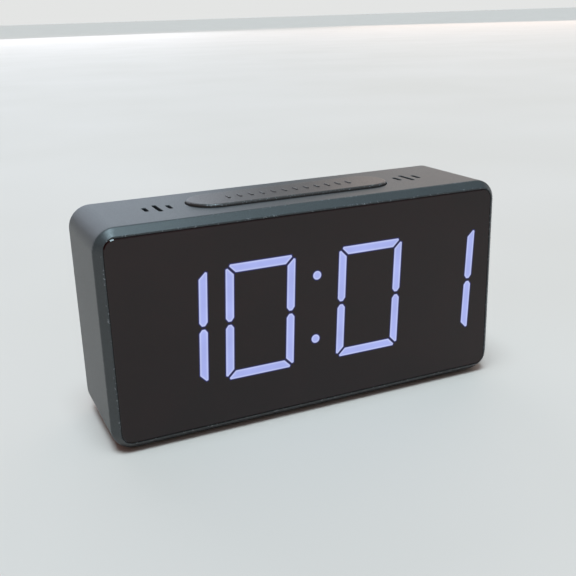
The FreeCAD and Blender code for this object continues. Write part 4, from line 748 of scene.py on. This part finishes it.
def make_snooze_bar():
    """The push bar: a long stadium with a rounded top edge, raised ribs, and a hollow inside.

    The rounded edge is inset = r (1 - cos a), level = top - r (1 - sin a), for a up to 90 degrees.
    """
    skin = Skin()
    loop = stadium((0, BAR_MIDDLE), BAR_LENGTH, BAR_WIDTH, steps=28)
    top = BAR_HIGH[2] - RIB_HEIGHT
    flange_base = SPRING_HIGH[2]
    flange_top = CEILING - 0.1 * MM
    flange_low = flange_top - BAR_FLANGE
    roof = top - BAR_SKIN
    turn = np.linspace(0, math.pi / 2, 8)
    outside = [(-BAR_LIP + 0.1 * MM, flange_low), (-BAR_LIP, flange_low + 0.1 * MM),
               (-BAR_LIP, flange_top - 0.1 * MM), (-BAR_LIP + 0.1 * MM, flange_top),
               (0.0, flange_top), (0.0, top - BAR_ROUND - 0.3 * MM)]
    outside += list(zip(BAR_ROUND * (1 - np.cos(turn)), top - BAR_ROUND * (1 - np.sin(turn))))
    outside += [(BAR_ROUND + 0.6 * MM, top)]
    level = np.array(outside)
    edge = np.clip(1.3 - np.hypot(level[:, 0] - 0.25 * MM, level[:, 1] - top + 0.25 * MM)
                   / (0.55 * MM), 0, 1)
    rings = skin.tube(loop, outside, 2, edge)
    inside = skin.tube(loop, [(BAR_SIDE, flange_low), (BAR_SIDE, roof)], 2)
    skin.fill([rings[0], inside[0]], 2)
    skin.fill([inside[-1]], 2)
    skin.fill([rings[-1]], 2)

    # The ribs: short stadiums across the bar, rooted in it, each with a round crest. Their edge
    # shades put pale marks on the crests: painted glints.
    profile = [(0.0, top - RIB_ROOT), (0.0, top + 0.14 * MM), (0.04 * MM, top + 0.22 * MM),
               (0.12 * MM, top + 0.28 * MM), (0.24 * MM, top + RIB_HEIGHT)]
    for x in np.linspace(-RIB_SPAN / 2, RIB_SPAN / 2, RIB_COUNT):
        rib = stadium((x, BAR_MIDDLE), RIB_LENGTH, RIB_WIDTH, steps=10, along=1)
        rows = skin.tube(rib, profile, 2, np.array([0, 0.3, 0.9, 1.0, 0.6]))
        skin.fill([rows[0]], 2)
        skin.fill([rows[-1]], 2)

    # Inside hang the pad over the switch and the two guide posts with their collars.
    pad_end = span("snooze_plunger")[1][2]
    post = [(POST_RADIUS, BAR_LOW[2]), (POST_RADIUS, flange_base), (COLLAR_RADIUS, flange_base),
            (COLLAR_RADIUS, roof)]
    skin.turned((0.0, BAR_MIDDLE), [(PAD_RADIUS, pad_end), (PAD_RADIUS, roof)], 2, 32)
    for x in (-POST_OUT, POST_OUT):
        skin.turned((x, BAR_MIDDLE), post, 2, 32)
    skin.make("snooze_push_bar", BAR_ABS, "key_plastic", "snooze", "snooze_bar")


def make_return_springs():
    """The two coil springs under the bar, which shorten when it is pressed.

    Along the coil by an angle t, the wire's middle is (r cos t, r sin t, rise t). A circle of
    the wire's radius stands across it, on the outward direction and the coil's binormal.
    """
    low, high = SPRING_LOW, SPRING_HIGH
    half = SPRING_WIRE / 2
    radius = (high[1] - low[1]) / 2 - half
    end = 2 * math.pi * SPRING_TURNS
    rise = (high[2] - low[2] - SPRING_WIRE) / end
    t = np.linspace(0, end, int(SPRING_TURNS * 40) + 1)[:, None, None]
    a = np.linspace(0, 2 * math.pi, 12, endpoint=False)[None, :, None]
    level = np.zeros_like(t)
    outward = np.concatenate([np.cos(t), np.sin(t), level], axis=2)
    across = np.concatenate([rise * np.sin(t), -rise * np.cos(t), level + radius], axis=2)
    across /= math.hypot(rise, radius)
    middle = radius * outward + np.concatenate([level, level, rise * t], axis=2)
    wire = middle + half * (np.cos(a) * outward + np.sin(a) * across)
    skin = Skin()
    for x in (low[0] + radius + half, high[0] - radius - half):
        rows = wire + np.array([x, BAR_MIDDLE, low[2] + half])
        skin.patch(rows)
        skin.fill([rows[0]], 1)
        skin.fill([rows[-1]], 1)
    coils = skin.make("return_springs", WIRE, "spring_steel", "clock", "snooze_springs")
    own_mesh(coils)


# ------------------------------------------------------------------ the back

def make_keys():
    """Four round keys, turned: a dished top with a raised mark, a flange and a stem."""
    marks = {
        "mode": [disc((0, 0), 2.4 * MM, 24)],
        "alarm": [stadium((0, 0.6 * MM), 2.6 * MM, 0.6 * MM, 8),
                  stadium((0, -0.6 * MM), 2.6 * MM, 0.6 * MM, 8)],
        "up": [softened_outline(np.array([(-1.4, -0.8), (1.4, -0.8), (0.0, 1.3)]) * MM,
                                TIP_TRIM)],
        "down": [softened_outline(np.array([(-1.4, 0.8), (0.0, -1.3), (1.4, 0.8)]) * MM,
                                  TIP_TRIM)],
    }
    for name, shapes in marks.items():
        low, high = span(f"{name}_key")
        centre = np.array([(low[0] + high[0]) / 2, (low[2] + high[2]) / 2])
        flange = low[1] + KEY_STEP
        top = high[1]
        turn = np.linspace(0, math.pi / 2, 6)
        ring = list(zip(KEY_RADIUS - KEY_ROUND * (1 - np.cos(turn)),
                        top - KEY_ROUND * (1 - np.sin(turn))))
        dish = [(KEY_RADIUS * share, top - KEY_DISH * (1 - (share / 0.8) ** 2))
                for share in (0.8, 0.7, 0.55, 0.4, 0.2, 0.05)]
        skin = Skin()
        skin.turned(centre, [(KEY_STEM, low[1]), (KEY_STEM, flange), (KEY_FLANGE, flange),
                             (KEY_FLANGE, flange + KEY_STEP), (KEY_RADIUS, flange + KEY_STEP)]
                    + ring + dish, 1)
        crest = [(0.0, top - 0.4 * MM), (0.0, top - 0.12 * MM), (0.03 * MM, top - 0.05 * MM),
                 (0.12 * MM, top - 0.02 * MM)]
        for shape in shapes:
            rings = [lift(shape(inset) + centre, level, 1) for inset, level in crest]
            skin.patch(rings)
            skin.fill([rings[0]], 1)
            skin.fill([rings[-1]], 1)
        skin.make(f"{name}_key_cap", KEY_ABS, "key_plastic", name, f"{name}_key")


make_case()
make_feet()
make_mirror()
make_display()
make_snooze_bar()
make_return_springs()
make_keys()
eased("rear_cover", "rear_plate", CASE_ABS, "case_plastic", "clock", 0.16 * MM)
eased("battery_door", "battery_lid", CASE_ABS, "case_plastic", "door", 0.16 * MM)
eased("slide_knob", "dimmer_knob", KEY_ABS, "key_plastic", "slide", 0.1 * MM)
eased("power_socket", "socket_body", BLACK_PBT, "switch_plastic", "clock", 0.12 * MM)

FINISHES = {
    "mirror_tape": TAPE, "display_reflector": REFLECTOR, "unlit_segments": RESIN_DARK,
    "led_chips": CHIP_RESIN, "display_board": LAMINATE, "main_board": LAMINATE,
    "snooze_board": LAMINATE, "display_screws": ZINC, "main_board_screws": ZINC,
    "snooze_board_screws": ZINC, "cover_screws": ZINC, "snooze_switch": BLACK_PBT,
    "key_switches": BLACK_PBT, "slide_switch": BLACK_PBT, "socket_pin": NICKEL,
    "buzzer": BLACK_PBT, "controller_chip": BLACK_PBT, "temperature_sensor": BLACK_PBT,
    "crystal": ALUMINIUM, "capacitor": ALUMINIUM, "snooze_plunger": NATURAL_POM,
    "mode_plunger": NATURAL_POM, "alarm_plunger": NATURAL_POM, "up_plunger": NATURAL_POM,
    "down_plunger": NATURAL_POM, "battery_springs": NICKEL,
    "battery_contacts": NICKEL, "battery_pins": NICKEL, "battery_cells": SLEEVE,
    "display_cable": FLAT_CABLE, "snooze_cable": FLAT_CABLE, "cable_headers": BLACK_PBT,
    "battery_leads": LEAD_VINYL,
}
for node, finish in FINISHES.items():
    for holder in NODES[node].material_slots:
        holder.material = finish


# ------------------------------------------------------------------ floor, light and camera

# The floor's half width is in metres. The camera's angles are bearing, height and roll, its
# target and distance are in millimetres, and so are its focal length and its sensor.
FLOOR_REACH = 60.0
CAMERA_ANGLES = (-24.036, 18.332, -1.774)
CAMERA_TARGET = (-12.048, -21.75, 51.248)
CAMERA_DISTANCE = 298.029
FOCAL_LENGTH = 51.548
SENSOR_WIDTH = 36.0
NEAREST = 10.0 * MM
WINDOW_AIM = (0, 0, 0.06)
WINDOW_SIZE = 5.5


def make_stage():
    """A plain pale floor that runs on to the horizon."""
    material, tree, shader, coordinates = new_material("pale_floor")
    cloud = add(tree, "TexNoise", {"Scale": 3.0, "Detail": 2.0}, Vector=coordinates)
    tone = add(tree, "ValToRGB", {"stops": [(0.3, "#D6C7BE"), (0.7, "#DBCCC4")]},
               Fac=cloud.outputs["Fac"])
    tree.links.new(shader.inputs["Base Color"], tone.outputs[0])
    shader.inputs["Roughness"].default_value = 0.7
    mesh = bpy.data.meshes.new("floor")
    corners = np.array([(-1, -1, 0), (1, -1, 0), (1, 1, 0), (-1, 1, 0)]) * FLOOR_REACH
    mesh.from_pydata(corners.tolist(), [], [(0, 1, 2, 3)])
    mesh.materials.append(material)
    floor = bpy.data.objects.new("floor", mesh)
    bpy.context.scene.collection.objects.link(floor)


def hang_light(name, kind, spot, aim, text, **settings):
    """A light of one kind and colour that faces a point, with its size and power."""
    light = bpy.data.lights.new(name, kind)
    light.color = colour(text)[:3]
    for key, setting in settings.items():
        setattr(light, key, setting)
    holder = bpy.data.objects.new(name, light)
    bpy.context.scene.collection.objects.link(holder)
    holder.location = spot
    holder.rotation_euler = (Vector(aim) - Vector(spot)).to_track_quat("-Z", "Y").to_euler()


def make_camera():
    """The camera, placed by its bearing, height and roll, in degrees, about a point in front."""
    bearing, height, roll = (math.radians(angle) for angle in CAMERA_ANGLES)
    target = np.array(CAMERA_TARGET) * MM
    distance = CAMERA_DISTANCE * MM
    back = np.array([math.sin(bearing) * math.cos(height), -math.cos(bearing) * math.cos(height),
                     math.sin(height)])
    right = np.array([math.cos(bearing), math.sin(bearing), 0.0])
    up = np.cross(back, right)
    across = math.cos(roll) * right + math.sin(roll) * up
    upward = -math.sin(roll) * right + math.cos(roll) * up
    place_at = target + distance * back
    lens = bpy.data.cameras.new("camera")
    lens.lens = FOCAL_LENGTH
    lens.sensor_width = SENSOR_WIDTH
    lens.clip_start = NEAREST
    camera = bpy.data.objects.new("camera", lens)
    bpy.context.scene.collection.objects.link(camera)
    camera.matrix_world = Matrix([[*row, place_at[index]] for index, row in
                                  enumerate(np.stack([across, upward, back], axis=1))]
                                 + [[0, 0, 0, 1]])
    bpy.context.scene.camera = camera


def make_world():
    """A dim grey surround for the light, warmer to the left, and pale behind the floor's edge."""
    world = bpy.data.worlds.new("studio")
    world.use_nodes = True
    tree = world.node_tree
    dim = tree.nodes["Background"]
    dim.inputs["Strength"].default_value = 0.36
    heading = add(tree, "TexCoord")
    parts = add(tree, "SeparateXYZ", Vector=heading.outputs["Generated"])
    share = add(tree, "MapRange", {"From Min": -1.0, "From Max": 1.0}, Value=parts.outputs["X"])
    tone = add(tree, "ValToRGB", {"stops": [(0.1, "#B07A68"), (0.6, "#E4E8EC")]},
               Fac=share.outputs[0])
    tree.links.new(dim.inputs["Color"], tone.outputs[0])
    pale = add(tree, "Background", {"Color": colour("#E4E5E4"), "Strength": 1.0})
    seen = add(tree, "LightPath")
    both = add(tree, "MixShader", Fac=seen.outputs["Is Camera Ray"])
    tree.links.new(both.inputs[1], dim.outputs[0])
    tree.links.new(both.inputs[2], pale.outputs[0])
    tree.links.new(tree.nodes["World Output"].inputs["Surface"], both.outputs[0])
    bpy.context.scene.world = world


make_stage()
make_world()
# The sun's spread is an angle in radians and its energy is in watts per square metre; the
# windows' size is in metres and their energy in watts.
hang_light("overhead", "SUN", (-0.10, -0.16, 1.0), (0, 0, 0), "#D4F2FF", angle=0.5, energy=3.3)
hang_light("window_left", "AREA", (0.0, 7.5, 2.86), WINDOW_AIM, "#E6F0FF", size=WINDOW_SIZE,
           energy=137.5)
hang_light("window_right", "AREA", (6.0, 6.0, 2.86), WINDOW_AIM, "#FFE9DC", size=WINDOW_SIZE,
           energy=95.0)
make_camera()
bpy.context.scene.view_settings.view_transform = "Standard"
